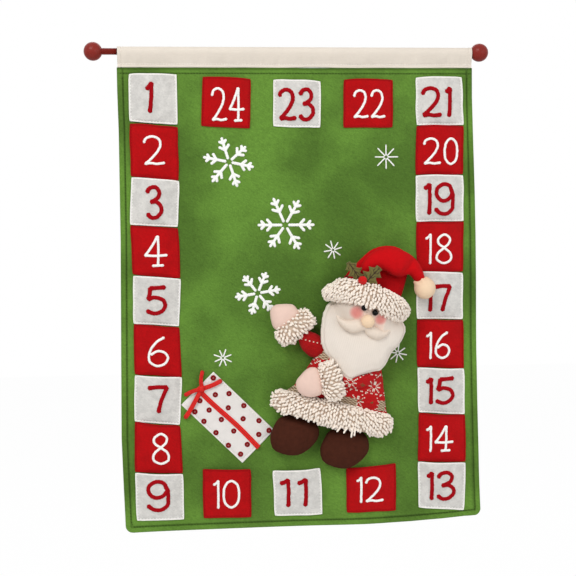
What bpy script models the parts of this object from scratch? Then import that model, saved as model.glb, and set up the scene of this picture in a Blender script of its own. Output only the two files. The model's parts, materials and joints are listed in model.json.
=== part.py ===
"""Hanging advent calendar: a felt banner on a wooden rod, with twenty-four numbered pockets
sewn round its edge, a stuffed Father Christmas and a ribboned gift.

Metres. +X is the viewer's right, the front faces -Y, +Z is up. The origin is the middle of the rod.
Run with: blender --background --python part.py
"""

import math

import bmesh
import bpy
import numpy as np
from mathutils import Matrix, Vector

# Fits
SEAT = 0.0003  # space between two pieces that touch
OVERRUN = 0.002  # how far a cutter passes the wall that it cuts

# Rod and its end balls
ROD_DIAMETER = 0.010
BALL_DIAMETER = 0.024
SOCKET_DEPTH = 0.014  # blind hole in each ball, from its inner face

# Sleeve that carries the banner
SLEEVE_INSET = 0.0010  # from the banner's edges to the sleeve's ends
SLEEVE_PLAY = 0.0199  # how far it can slide between the balls
SLEEVE_WALL = 0.0010
SLEEVE_DROP = 0.0205  # from the rod's axis to the sleeve's bottom edge
SLEEVE_SEAM_WIDTH = 0.0028  # the two walls where they are sewn together
SLEEVE_SEAM_HEIGHT = 0.0050

# Banner: a front cloth and a lining
SIDE_MARGIN = 0.0127  # from a column of pockets to the banner's edge
TOP_MARGIN = 0.0095  # from the banner's top edge to the first pocket
BOTTOM_MARGIN = 0.0139  # from the lowest row of pockets to the banner's bottom edge
CLOTH_THICKNESS = 0.0015
CORNER_RADIUS = 0.010

# Pockets
POCKET_SIDE = 0.0646
POCKET_GAP = 0.0004  # between two pockets of a side column
COLUMN_GAP = 0.0304  # between two pockets of the top or bottom row
POCKET_CLOTH = 0.0012
POCKET_BULGE = 0.0066  # room inside the mouth, at its middle
POCKET_SEAM = 0.0032  # flat stitched margin at the sides and the bottom
SIDE_POCKETS = 9
ROW_POCKETS = 3
POCKET_COUNT = 24

# Gift patch with its ribbon and bow
GIFT_LENGTH = 0.108
GIFT_WIDTH = 0.058
GIFT_CLOTH = 0.0012
GIFT_TILT = -44.0  # degrees, its long side falls to the right
GIFT_ASIDE = 0.0007  # from the left column of pockets to its left corner
GIFT_RISE = 0.0140  # from the bottom row of pockets to its lower corner
RIBBON_WIDTH = 0.0065
RIBBON_THICKNESS = 0.0006
BOW_KNOT = 0.0042
BOW_LOOP_LENGTH = 0.024
BOW_TAIL_LENGTH = 0.034
BOW_BAND_WIDTH = 0.0038
BOW_BAND_THICKNESS = 0.0016

# Stuffed figure, as a whole
DOLL_HEIGHT = 0.295
DOLL_ASIDE = 0.0967  # from its centre to the right column of pockets
DOLL_RISE = 0.0008  # from the bottom row of pockets to its lower end
DOLL_LEAN = 14.5  # degrees, clockwise as seen from the front
HEAD_LEAN = 23.0

# Coat and its trim
COAT_WIDTH = 0.148
COAT_LENGTH = 0.121
COAT_DEPTH = 0.034
TRIM_LENGTH = 0.166
TRIM_HEIGHT = 0.029
TRIM_DEPTH = 0.020
TRIM_FORWARD = 0.029  # its middle, in front of the banner

# Head, hat, beard and face
HEAD_WIDTH = 0.088
HEAD_HEIGHT = 0.084
HEAD_DEPTH = 0.046
HAT_WIDTH = 0.100
HAT_HEIGHT = 0.092
HAT_DEPTH = 0.036
BRIM_WIDTH = 0.110
BRIM_HEIGHT = 0.028
BRIM_DEPTH = 0.017
TIP_LENGTH = 0.026
TIP_RADIUS = 0.011
TIP_END_RADIUS = 0.0062
TIP_FORWARD = 0.018
TIP_LEAN = 27.0  # degrees from straight down, to the right
TIP_SWING = 40.0  # degrees that the tip folds forward
POMPOM_RADIUS = 0.014
POMPOM_FORWARD = 0.020
BEARD_WIDTH = 0.116
BEARD_LENGTH = 0.113
BEARD_DEPTH = 0.018
BEARD_FORWARD = 0.023
BEARD_FOOT = 0.029  # its lower edge lies on the coat, this far in front of its upper edge
MOUSTACHE_WIDTH = 0.079
MOUSTACHE_RADIUS = 0.0088
MOUSTACHE_FORWARD = 0.047
NOSE_RADIUS = 0.0092
EYE_RADIUS = 0.0034

# Holly
LEAF_LENGTH = 0.036
LEAF_WIDTH = 0.021
LEAF_THICKNESS = 0.0060
LEAF_LEFT_FORWARD = 0.032
LEAF_RIGHT_FORWARD = 0.0385
BERRY_RADIUS = 0.0060

# Arms
SLEEVE_ARM_RADIUS = 0.0155
CUFF_LENGTH = 0.056
CUFF_RADIUS = 0.0142
HAND_LENGTH = 0.040
HAND_RADIUS = 0.0200
HAND_DEPTH_RADIUS = 0.0115
RAISED_FORWARD = 0.0135
LOWER_FORWARD = 0.037

# Boots
BOOT_WIDTH = 0.066
BOOT_HEIGHT = 0.056
BOOT_DEPTH = 0.025
LEG_RADIUS = 0.0080
LEG_FORWARD = 0.0110
BOOT_SWING = 20.0  # degrees that a boot swings forward

# Numbers of segments
ROUND = 24
LIMB_SIDES = 14
LIMB_STEPS = 9
PILLOW_ROUND = 26
PILLOW_RINGS = 4

# Places worked out from the sizes above
ROD_RADIUS = ROD_DIAMETER / 2
BALL_RADIUS = BALL_DIAMETER / 2
SLEEVE_INNER_RADIUS = ROD_RADIUS + SEAT
SLEEVE_OUTER_RADIUS = SLEEVE_INNER_RADIUS + SLEEVE_WALL
POCKET_PITCH = POCKET_SIDE + POCKET_GAP  # down the two side columns
COLUMN_PITCH = POCKET_SIDE + COLUMN_GAP
BANNER_WIDTH = (ROW_POCKETS + 1) * COLUMN_PITCH + POCKET_SIDE + 2 * SIDE_MARGIN
BANNER_HEIGHT = (SIDE_POCKETS - 1) * POCKET_PITCH + POCKET_SIDE + TOP_MARGIN + BOTTOM_MARGIN
SLEEVE_LENGTH = BANNER_WIDTH - 2 * SLEEVE_INSET
BALL_REACH = math.sqrt(BALL_RADIUS**2 - SLEEVE_INNER_RADIUS**2)  # where a ball meets the sleeve's end
BALL_SPAN = SLEEVE_LENGTH + SLEEVE_PLAY + 2 * (SEAT + BALL_REACH)  # between the balls' centres
SLEEVE_RIGHT = BALL_SPAN / 2 - BALL_REACH - SEAT
SLEEVE_CENTRE_X = SLEEVE_RIGHT - SLEEVE_LENGTH / 2
HALF_GAP = SEAT / 2
BANNER_HALF_THICKNESS = HALF_GAP + CLOTH_THICKNESS
SEAM_Z = -(SLEEVE_DROP + SEAT + BANNER_HALF_THICKNESS)
BANNER_TOP = SEAM_Z + BANNER_HALF_THICKNESS
BANNER_LEFT = SLEEVE_CENTRE_X - BANNER_WIDTH / 2
FRONT = -(BANNER_HALF_THICKNESS + SEAT)  # the plane that sewn-on pieces start from
DOLL_FROM_LEFT = BANNER_WIDTH - SIDE_MARGIN - POCKET_SIDE - DOLL_ASIDE
DOLL_DROP = BANNER_HEIGHT - BOTTOM_MARGIN - POCKET_SIDE - DOLL_RISE - DOLL_HEIGHT / 2
GIFT_SLOPE = math.radians(GIFT_TILT)
GIFT_REACH_ASIDE = (GIFT_LENGTH * math.cos(GIFT_SLOPE) + GIFT_WIDTH * abs(math.sin(GIFT_SLOPE))) / 2
GIFT_REACH_DOWN = (GIFT_LENGTH * abs(math.sin(GIFT_SLOPE)) + GIFT_WIDTH * math.cos(GIFT_SLOPE)) / 2
GIFT_FROM_LEFT = SIDE_MARGIN + POCKET_SIDE + GIFT_ASIDE + GIFT_REACH_ASIDE
GIFT_DROP = BANNER_HEIGHT - BOTTOM_MARGIN - POCKET_SIDE - GIFT_RISE - GIFT_REACH_DOWN
DOLL_X = BANNER_LEFT + DOLL_FROM_LEFT
DOLL_Z = BANNER_TOP - DOLL_DROP

# Each number's place in columns and rows, and how far off it was sewn, as shares of the pitch
SEWN_OFF_SHARES = {1: (0, 0.03), 10: (-0.08, 0.02), 11: (-0.10, -0.03), 23: (0, -0.05),
                   24: (0.02, -0.01), 22: (-0.02, 0)}
SEWN_TURN = {24: -2.5, 23: -1.0, 10: -0.8, 11: 1.2, 12: 1.5}  # degrees

# Colours, as red, green, blue, with roughness
FINISHES = {
    "varnished_red": ((0.28, 0.020, 0.015), 0.25),
    "cream_cotton": ((0.80, 0.72, 0.62), 0.90),
    "green_felt": ((0.10, 0.25, 0.035), 0.95),
    "red_felt": ((0.62, 0.010, 0.012), 0.95),
    "white_felt": ((0.80, 0.78, 0.76), 0.95),
    "red_knit": ((0.60, 0.020, 0.015), 0.95),
    "loop_pile": ((0.82, 0.76, 0.68), 0.95),
    "brown_plush": ((0.065, 0.018, 0.012), 0.95),
    "skin_fleece": ((0.82, 0.55, 0.45), 0.90),
    "white_fleece": ((0.82, 0.80, 0.76), 0.90),
    "black_bead": ((0.010, 0.010, 0.010), 0.20),
    "leaf_cloth": ((0.09, 0.13, 0.03), 0.85),
    "red_satin": ((0.70, 0.020, 0.020), 0.40),
}


def clear_scene():
    for thing in list(bpy.data.objects):
        bpy.data.objects.remove(thing, do_unlink=True)


def material(name):
    found = bpy.data.materials.get(name)
    if found:
        return found
    colour, roughness = FINISHES[name]
    made = bpy.data.materials.new(name)
    made.use_nodes = True
    shader = made.node_tree.nodes["Principled BSDF"]
    shader.inputs["Base Color"].default_value = (*colour, 1.0)
    shader.inputs["Roughness"].default_value = roughness
    shader.inputs["Metallic"].default_value = 0.0
    made.diffuse_color = (*colour, 1.0)
    return made


def empty(name, place=(0, 0, 0), parent=None):
    made = bpy.data.objects.new(name, None)
    made.empty_display_size = BALL_RADIUS
    bpy.context.scene.collection.objects.link(made)
    made.location = place
    if parent:
        made.parent = parent
        made.matrix_parent_inverse = Matrix.Translation(parent.matrix_world.translation).inverted()
    bpy.context.view_layer.update()
    return made


def shape(name, points, faces, finish, parent=None):
    """A named mesh object from arrays of points and lists of faces, set out in world places."""
    mesh = bpy.data.meshes.new(name)
    mesh.from_pydata([tuple(map(float, p)) for p in points], [], faces)
    work = bmesh.new()
    work.from_mesh(mesh)
    bmesh.ops.recalc_face_normals(work, faces=work.faces)
    work.to_mesh(mesh)
    work.free()
    mesh.shade_smooth()
    mesh.set_sharp_from_angle(angle=math.radians(40))
    mesh.materials.append(material(finish))
    made = bpy.data.objects.new(name, mesh)
    bpy.context.scene.collection.objects.link(made)
    if parent:
        origin = parent.matrix_world.translation
        mesh.transform(Matrix.Translation(-origin))
        made.parent = parent
    bpy.context.view_layer.update()
    return made


def grown(thing, by, turn):
    """A hidden copy of an object's uncut form with its surface moved out, turned about its joint."""
    work = bmesh.new()
    work.from_mesh(bpy.data.meshes.get(thing.name + "_uncut") or thing.data)
    work.transform(turn @ thing.matrix_world)
    work.normal_update()
    moved = [v.co + v.normal * by * v.calc_shell_factor() for v in work.verts]
    for vertex, place in zip(work.verts, moved):
        vertex.co = place
    bmesh.ops.recalc_face_normals(work, faces=work.faces)
    mesh = bpy.data.meshes.new(thing.name + "_room")
    work.to_mesh(mesh)
    work.free()
    cutter = bpy.data.objects.new(mesh.name, mesh)
    bpy.context.scene.collection.objects.link(cutter)
    cutter.hide_render = True
    cutter.display_type = "WIRE"
    return cutter


def apply_modifiers(thing):
    """Replaces the mesh by its evaluated one, and keeps only its largest body."""
    graph = bpy.context.evaluated_depsgraph_get()
    mesh = bpy.data.meshes.new_from_object(thing.evaluated_get(graph))
    thing.modifiers.clear()
    thing.data = mesh
    work = bmesh.new()
    work.from_mesh(mesh)
    unseen = set(work.faces)
    bodies = []
    while unseen:
        front = [unseen.pop()]
        body = list(front)
        while front:
            near = {f for edge in front.pop().edges for f in edge.link_faces} & unseen
            unseen -= near
            front.extend(near)
            body.extend(near)
        bodies.append(body)
    bodies.sort(key=lambda body: sum(face.calc_area() for face in body))
    for body in bodies[:-1]:
        bmesh.ops.delete(work, geom=body, context="FACES")
    work.to_mesh(mesh)
    work.free()
    mesh.shade_smooth()
    mesh.set_sharp_from_angle(angle=math.radians(40))


def combine(thing, others, operation):
    if not bpy.data.meshes.get(thing.name + "_uncut"):
        thing.data.copy().name = thing.name + "_uncut"
    for other in others:
        step = thing.modifiers.new(operation.lower(), "BOOLEAN")
        step.operation = operation
        step.solver = "EXACT"
        step.object = other
    apply_modifiers(thing)


def fit_round(thing, neighbours, turns=(Matrix.Identity(4),)):
    """Cuts room in a piece for the neighbours that were there first, at each of their turns."""
    rooms = [grown(neighbour, SEAT, turn) for neighbour in neighbours for turn in turns]
    combine(thing, rooms, "DIFFERENCE")
    for room in rooms:
        bpy.data.objects.remove(room, do_unlink=True)


def swing_turns(pivot, lean, reach):
    """Turns about a line in the front plane that leans by lean degrees, up to reach degrees."""
    x, z = turned([(-1, 0)], lean)[0]
    there, back = Matrix.Translation(pivot), Matrix.Translation(-pivot)
    return [there @ Matrix.Rotation(math.radians(reach * k / 4), 4, Vector((x, 0, z))) @ back
            for k in range(5)]


def swept_hull(thing, turns):
    """A hidden cutter that wraps all the places that a convex piece passes through."""
    rooms = [grown(thing, SEAT, turn) for turn in turns]
    work = bmesh.new()
    for room in rooms:
        for vertex in room.data.vertices:
            work.verts.new(vertex.co)
        bpy.data.objects.remove(room, do_unlink=True)
    wrapped = bmesh.ops.convex_hull(work, input=work.verts)
    loose = {part for part in wrapped["geom_interior"] + wrapped["geom_unused"]
             if isinstance(part, bmesh.types.BMVert)}
    bmesh.ops.delete(work, geom=list(loose), context="VERTS")
    mesh = bpy.data.meshes.new(thing.name + "_sweep")
    work.to_mesh(mesh)
    work.free()
    cutter = bpy.data.objects.new(mesh.name, mesh)
    bpy.context.scene.collection.objects.link(cutter)
    cutter.hide_render = True
    cutter.display_type = "WIRE"
    return cutter


def smooth_curve(points, count, closed):
    """Catmull-Rom curve through the points, read at even steps of its own parameter."""
    points = np.asarray(points, float)
    if closed:
        held = np.concatenate([points[-1:], points, points[:2]])
        spans = len(points)
    else:
        first, last = 2 * points[:1] - points[1:2], 2 * points[-1:] - points[-2:-1]
        held = np.concatenate([first, points, last])
        spans = len(points) - 1
    steps = np.arange(count) / count if closed else np.linspace(0, 1, count)
    along = np.minimum(steps * spans, spans - 1e-9)
    i = along.astype(int)
    t = (along - i)[:, None]
    a, b, c, d = held[i], held[i + 1], held[i + 2], held[i + 3]
    return 0.5 * (2 * b + (c - a) * t + (2 * a - 5 * b + 4 * c - d) * t**2
                  + (3 * b - a - 3 * c + d) * t**3)


def turned(points, degrees):
    """Points of the front plane, x then z, turned clockwise as seen from the front."""
    angle = math.radians(degrees)
    x, z = np.asarray(points, float).T
    return np.stack([x * math.cos(angle) + z * math.sin(angle),
                     z * math.cos(angle) - x * math.sin(angle)], axis=1)


def on_doll(across_share, up_share):
    """A place on the figure in the front plane, from its centre, in shares of its height."""
    return np.array([DOLL_X + across_share * DOLL_HEIGHT, DOLL_Z + up_share * DOLL_HEIGHT])


def on_coat(across_share, up_share):
    """A place in the front plane from the coat's centre, in shares of the coat's length."""
    return on_doll(-0.024, -0.040) + np.array([across_share, up_share]) * COAT_LENGTH


def on_head(across_share, up_share):
    """A place in the front plane from the head's centre, in shares of the head's height."""
    return on_doll(0.085, 0.212) + np.array([across_share, up_share]) * HEAD_HEIGHT


def forward(distance):
    """The depth of a point that lies this far in front of the banner."""
    return FRONT - distance


def ring_faces(rings, sides, first_pole, last_pole):
    """Faces of rings of points that close on a pole at each end."""
    faces = []
    for k in range(sides):
        n = (k + 1) % sides
        faces.append((first_pole, k, n))
        faces += [(r * sides + k, (r + 1) * sides + k, (r + 1) * sides + n, r * sides + n)
                  for r in range(rings - 1)]
        faces.append((last_pole, (rings - 1) * sides + n, (rings - 1) * sides + k))
    return faces


def pillow(name, centre, size, outline_shares, depths, finish, lean=0.0, parent=None, foot=0.0):
    """A stuffed form: its outline at the rim, swelling towards its middle as a quarter round.

    depths are the rim's distance in front of the banner, and the bulge to the front and the back.
    foot is how much further forward the lower edge lies than the upper one.
    """
    rim, front_bulge, back_bulge = depths
    outline = smooth_curve(np.array(outline_shares) * size, PILLOW_ROUND, True)
    outline = turned(outline, lean)
    turns = np.linspace(0, math.pi, 2 * PILLOW_RINGS + 1)[1:-1]
    scale = np.sin(turns)
    height = np.cos(turns)
    depth = np.where(height > 0, height * front_bulge, height * back_bulge)
    flat = centre + scale[:, None, None] * outline
    y = forward(rim + depth)[:, None] + foot * (flat[..., 1] - centre[1]) / size[1]
    rings = np.stack([flat[..., 0], y, flat[..., 1]], axis=-1).reshape(-1, 3)
    poles = [(centre[0], forward(rim + front_bulge), centre[1]),
             (centre[0], forward(rim - back_bulge), centre[1])]
    points = np.concatenate([rings, poles])
    last = len(rings)
    return shape(name, points, ring_faces(len(turns), PILLOW_ROUND, last, last + 1), finish, parent)


def limb(name, path, widths, finish, parent=None, flatness=1.0, sides=LIMB_SIDES, steps=LIMB_STEPS):
    """A round-ended form carried along a smooth path.

    path has points (x, distance in front of the banner, z). widths are half widths at even steps
    along it. flatness is its half depth over its half width.
    """
    path = np.asarray(path, float)
    path[:, 1] = forward(path[:, 1])
    share = (1 - np.cos(np.linspace(0, math.pi, steps + 2))) / 2
    fine = smooth_curve(path, 200, False)
    walked = np.concatenate([[0], np.cumsum(np.linalg.norm(np.diff(fine, axis=0), axis=1))])
    walked /= walked[-1]
    line = np.stack([np.interp(share, walked, fine[:, k]) for k in range(3)], axis=1)
    along = np.stack([np.gradient(np.interp(share, walked, fine[:, k]), share) for k in range(3)], axis=1)
    along /= np.linalg.norm(along, axis=1)[:, None]
    deep = np.array([0.0, -1.0, 0.0]) - along * (along @ [0.0, -1.0, 0.0])[:, None]
    deep /= np.linalg.norm(deep, axis=1)[:, None]
    across = np.cross(along, deep)
    stations = np.linspace(0, 1, len(widths))
    half = np.sqrt(np.maximum(np.interp(share, stations, np.square(widths)), 0))
    turn = np.arange(sides) * 2 * math.pi / sides
    rings = (line[1:-1, None] + across[1:-1, None] * (half[1:-1, None] * np.cos(turn))[..., None]
             + deep[1:-1, None] * (half[1:-1, None] * flatness * np.sin(turn))[..., None])
    points = np.concatenate([rings.reshape(-1, 3), line[:1], line[-1:]])
    last = steps * sides
    return shape(name, points, ring_faces(steps, sides, last, last + 1), finish, parent)


def ball(name, centre, radius, finish, parent=None, segments=ROUND):
    work = bmesh.new()
    bmesh.ops.create_uvsphere(work, u_segments=segments, v_segments=segments // 2, radius=radius)
    work.transform(Matrix.Translation(Vector([float(c) for c in centre])))
    points = [tuple(v.co) for v in work.verts]
    faces = [[v.index for v in f.verts] for f in work.faces]
    work.free()
    return shape(name, points, faces, finish, parent)


def round_bar(name, radius, x_from, x_to, finish, parent=None, segments=ROUND):
    """A round bar along X, centred on the rod's axis."""
    turn = np.arange(segments) * 2 * math.pi / segments
    ring = np.stack([np.zeros(segments), np.cos(turn) * radius, np.sin(turn) * radius], axis=1)
    points = np.concatenate([ring + [x_from, 0, 0], ring + [x_to, 0, 0]])
    faces = [(k, (k + 1) % segments, segments + (k + 1) % segments, segments + k)
             for k in range(segments)]
    faces += [list(range(segments)), list(range(segments, 2 * segments))]
    return shape(name, points, faces, finish, parent)


def slab(name, outline, y_front, y_back, finish, parent=None):
    """A flat plate from its outline in the front plane."""
    outline = np.asarray(outline, float)
    count = len(outline)
    points = [(x, y, z) for y in (y_front, y_back) for x, z in outline]
    faces = [(k, (k + 1) % count, count + (k + 1) % count, count + k) for k in range(count)]
    faces += [list(range(count)), list(range(count, 2 * count))]
    return shape(name, points, faces, finish, parent)


def make_rod(rod):
    end = BALL_SPAN / 2 - BALL_RADIUS + SOCKET_DEPTH - SEAT
    round_bar("rod_dowel", ROD_RADIUS, -end, end, "varnished_red", rod)
    for name, side in (("ball_left", -1), ("ball_right", 1)):
        made = ball(name, (side * BALL_SPAN / 2, 0, 0), BALL_RADIUS, "varnished_red", rod)
        inner = side * (BALL_SPAN / 2 - BALL_RADIUS)
        socket = round_bar(name + "_socket", ROD_RADIUS + SEAT, inner - side * OVERRUN,
                           inner + side * SOCKET_DEPTH, "varnished_red")
        socket.hide_render = True
        socket.display_type = "WIRE"
        combine(made, [socket], "DIFFERENCE")
        bpy.data.objects.remove(socket, do_unlink=True)


def teardrop(radius, tip_half_width, drop, segments):
    """Section of the sleeve, y then z: a round over the rod that narrows to its lower edge."""
    lean = math.asin((radius - tip_half_width) / drop)
    turn = np.linspace(-lean, math.pi + lean, segments)
    arc = np.stack([np.cos(turn), np.sin(turn)], axis=1) * radius
    return np.concatenate([arc, [(-tip_half_width, -drop), (tip_half_width, -drop)]])


def make_sleeve(parent):
    """Cloth sleeve: an outer and an inner teardrop, joined by a ring of cloth at each end."""
    segments = 16
    outer = teardrop(SLEEVE_OUTER_RADIUS, SLEEVE_SEAM_WIDTH / 2, SLEEVE_DROP, segments)
    inner = teardrop(SLEEVE_INNER_RADIUS, SLEEVE_SEAM_WIDTH / 2 - SLEEVE_WALL,
                     SLEEVE_DROP - SLEEVE_SEAM_HEIGHT, segments)
    count = len(outer)
    ends = (SLEEVE_CENTRE_X - SLEEVE_LENGTH / 2, SLEEVE_CENTRE_X + SLEEVE_LENGTH / 2)
    points = [(x, y, z) for x in ends for ring in (outer, inner) for y, z in ring]
    faces = []
    for k in range(count):
        n = (k + 1) % count
        faces.append((k, n, 2 * count + n, 2 * count + k))
        faces.append((count + k, 3 * count + k, 3 * count + n, count + n))
        faces.append((k, count + k, count + n, n))
        faces.append((2 * count + k, 2 * count + n, 3 * count + n, 3 * count + k))
    return shape("rod_sleeve", points, faces, "cream_cotton", parent)


def banner_outline():
    """Square at the top, with the two bottom corners rounded."""
    left, right = BANNER_LEFT, BANNER_LEFT + BANNER_WIDTH
    bottom = BANNER_TOP - BANNER_HEIGHT
    turn = np.linspace(0, math.pi / 2, 6)
    sweep = np.stack([1 - np.cos(turn), 1 - np.sin(turn)], axis=1) * CORNER_RADIUS
    right_corner = np.stack([right - sweep[:, 0], bottom + sweep[:, 1]], axis=1)
    left_corner = np.stack([left + sweep[:, 0], bottom + sweep[:, 1]], axis=1)[::-1]
    return np.concatenate([[(left, BANNER_TOP), (right, BANNER_TOP)], right_corner, left_corner])


def round_top_edge(thing, outer_y):
    """Rounds the cloth's top edge on one side, so that it turns freely at the seam."""
    work = bmesh.new()
    work.from_mesh(thing.data)
    origin = thing.parent.matrix_world.translation
    top = [edge for edge in work.edges
           if all(abs(v.co.z + origin.z - BANNER_TOP) < HALF_GAP for v in edge.verts)
           and all(abs(v.co.y + origin.y - outer_y) < HALF_GAP for v in edge.verts)]
    bmesh.ops.bevel(work, geom=top, offset=CLOTH_THICKNESS * 0.98, segments=3, profile=0.5,
                    affect="EDGES")
    work.to_mesh(thing.data)
    work.free()


def make_banner(banner):
    outline = banner_outline()
    front = slab("front_cloth", outline, -BANNER_HALF_THICKNESS, -HALF_GAP, "green_felt", banner)
    lining = slab("back_lining", outline, HALF_GAP, BANNER_HALF_THICKNESS, "green_felt", banner)
    round_top_edge(front, -BANNER_HALF_THICKNESS)
    round_top_edge(lining, BANNER_HALF_THICKNESS)


def pocket_place(number):
    """Column and row of a pocket. The numbers run down the left, along the foot, and up again."""
    last_row = SIDE_POCKETS - 1
    edge_column = (ROW_POCKETS + 1) / 2
    if number <= SIDE_POCKETS:
        return -edge_column, number - 1
    if number <= SIDE_POCKETS + ROW_POCKETS:
        return number - SIDE_POCKETS - edge_column, last_row
    if number <= 2 * SIDE_POCKETS + ROW_POCKETS:
        return edge_column, 2 * SIDE_POCKETS + ROW_POCKETS - number
    return POCKET_COUNT + 1 - number - edge_column, 0


def make_pocket(number, parent):
    """A square of felt sewn flat on three sides, its front bowed out to an open mouth at the top."""
    column, row = pocket_place(number)
    off_x, off_z = SEWN_OFF_SHARES.get(number, (0, 0))
    centre = np.array([
        SLEEVE_CENTRE_X + column * COLUMN_PITCH + off_x * POCKET_PITCH,
        BANNER_TOP - TOP_MARGIN - POCKET_SIDE / 2 - (row - off_z) * POCKET_PITCH])
    half = POCKET_SIDE / 2
    inner = half - POCKET_SEAM
    across = np.concatenate([[-half], np.linspace(-1, 1, 7) * inner, [half]])
    up_share = np.array([0, 0.28, 0.62, 1.0])
    up = np.concatenate([[-half], (half + inner) * up_share - inner])
    bow_across = np.where(abs(across) < half, 1 - np.square(np.clip(across / inner, -1, 1)), 0)
    bow_up = np.concatenate([[0], np.sin(up_share * math.pi / 2)])
    bow = POCKET_BULGE * bow_up[:, None] * bow_across
    flat = np.stack(np.meshgrid(across, up), axis=-1)
    places = turned(flat.reshape(-1, 2), -SEWN_TURN.get(number, 0)).reshape(flat.shape) + centre
    skins = [np.stack([places[..., 0], FRONT - bow - thickness, places[..., 1]], axis=-1)
             for thickness in (0, POCKET_CLOTH)]
    points = np.concatenate([skin.reshape(-1, 3) for skin in skins])
    rows, columns = flat.shape[:2]
    ids = np.arange(rows * columns).reshape(rows, columns)
    cells = np.stack([ids[:-1, :-1], ids[:-1, 1:], ids[1:, 1:], ids[1:, :-1]], axis=-1).reshape(-1, 4)
    rim = np.concatenate([ids[0, :-1], ids[:-1, -1], ids[-1, :0:-1], ids[:0:-1, 0]])
    after = np.roll(rim, -1)
    skin_size = ids.size
    faces = cells.tolist() + (cells + skin_size)[:, ::-1].tolist()
    faces += np.stack([rim, after, after + skin_size, rim + skin_size], axis=1).tolist()
    finish = "white_felt" if number % 2 else "red_felt"
    return shape(f"pocket_{number:02d}", points, faces, finish, parent)


def make_gift(parent):
    corner_shares = np.array([(-0.5, -0.5), (0.5, -0.5), (0.5, 0.5), (-0.5, 0.5)])
    centre = np.array([BANNER_LEFT + GIFT_FROM_LEFT, BANNER_TOP - GIFT_DROP])
    patch_front = FRONT - GIFT_CLOTH
    outline = turned(corner_shares * (GIFT_LENGTH, GIFT_WIDTH), -GIFT_TILT) + centre
    slab("gift_patch", outline, patch_front, FRONT, "white_felt", parent)
    ribbon_back = patch_front - SEAT
    ribbon_front = ribbon_back - RIBBON_THICKNESS
    outline = turned(corner_shares * (GIFT_LENGTH, RIBBON_WIDTH), -GIFT_TILT) + centre
    ribbon = slab("gift_ribbon", outline, ribbon_front, ribbon_back, "red_satin", parent)

    knot = centre + turned([(-GIFT_LENGTH / 2 + RIBBON_WIDTH, 0)], -GIFT_TILT)[0]
    lift = FRONT - ribbon_front + SEAT + BOW_KNOT / 2
    bow = ball("gift_bow", (knot[0], forward(lift), knot[1]), BOW_KNOT, "red_satin", parent, 12)
    arms = []
    for turn, length, rise_share in ((92, BOW_LOOP_LENGTH, 1.0), (178, BOW_LOOP_LENGTH, 1.0),
                                     (20, BOW_LOOP_LENGTH, 1.0), (-125, BOW_TAIL_LENGTH, 0.2)):
        way = np.array([math.cos(math.radians(turn)), math.sin(math.radians(turn))])
        side = np.array([-way[1], way[0]])
        stops = [knot, knot + way * length / 2 + side * BOW_BAND_WIDTH / 2, knot + way * length]
        path = [(stops[0][0], lift, stops[0][1]),
                (stops[1][0], lift + rise_share * BOW_KNOT / 2, stops[1][1]),
                (stops[2][0], lift, stops[2][1])]
        half = BOW_BAND_WIDTH / 2
        arms.append(limb("bow_arm", path, (half, half, half, 0), "red_satin", None,
                         BOW_BAND_THICKNESS / BOW_BAND_WIDTH, 8, 5))
    combine(bow, arms, "UNION")
    for arm in arms:
        bpy.data.objects.remove(arm, do_unlink=True)
    patch = bpy.data.objects["gift_patch"]
    fit_round(bow, [ribbon, patch])


def make_coat(parent):
    """The stuffed body: narrow at the shoulders and wide at the skirt."""
    outline_shares = [(-0.44, -0.46), (-0.2, -0.5), (0.2, -0.5), (0.50, -0.46), (0.485, -0.30),
                      (0.37, 0.08), (0.24, 0.42), (0, 0.5), (-0.20, 0.42), (-0.27, 0.08),
                      (-0.39, -0.32)]
    back = COAT_DEPTH * 0.2
    return pillow("coat", on_coat(0, 0), (COAT_WIDTH, COAT_LENGTH), outline_shares,
                  (back, COAT_DEPTH - back, back), "red_knit", DOLL_LEAN, parent)


def hem_place(across_share, up_share=0.0):
    """A place along the trim: shares of its length from its middle, and of its height up."""
    middle = on_coat(-0.1219, -0.5217)
    offset = (across_share * TRIM_LENGTH, up_share * TRIM_HEIGHT)
    return middle + turned([offset], DOLL_LEAN)[0]


def make_trim(parent):
    half = TRIM_HEIGHT / 2
    path = []
    for across_share, depth_share in ((-0.5, 0.36), (-0.36, 0.66), (0, 1), (0.36, 0.66), (0.5, 0.36)):
        x, z = hem_place(across_share)
        path.append((x, depth_share * TRIM_FORWARD, z))
    return limb("coat_trim", path, (half * 0.8, half, half, half, half, half, half * 0.8), "loop_pile",
                parent, TRIM_DEPTH / TRIM_HEIGHT)


def make_head(parent):
    turn = np.arange(12) * math.pi / 6
    outline_shares = np.stack([np.cos(turn), np.sin(turn)], axis=1) / 2
    rim = HEAD_DEPTH * 0.38
    return pillow("head", on_head(0, 0), (HEAD_WIDTH, HEAD_HEIGHT), outline_shares,
                  (rim, HEAD_DEPTH - rim, rim), "white_fleece", HEAD_LEAN, parent)


def make_hat_crown(parent):
    """The hat's soft bag, wide at the brim, its top folded over to the right."""
    outline_shares = [(-0.38, -0.36), (-0.37, -0.10), (-0.28, 0.16), (-0.17, 0.40), (0.01, 0.55),
                      (0.23, 0.59), (0.39, 0.52), (0.45, 0.30), (0.46, -0.08), (0.48, -0.36),
                      (0.04, -0.28)]
    rim = HAT_DEPTH * 0.36
    return pillow("hat_crown", on_head(0.1194, 0.4565), (HAT_WIDTH, HAT_HEIGHT), outline_shares,
                  (rim, HAT_DEPTH - rim, rim), "red_felt", HEAD_LEAN, parent)


def tip_hinge():
    """Where the hat's end folds over: the centre of the round top of the hanging tip."""
    x, z = on_head(0.7375, 0.7024)
    return Vector((float(x), forward(TIP_FORWARD), float(z)))


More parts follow.
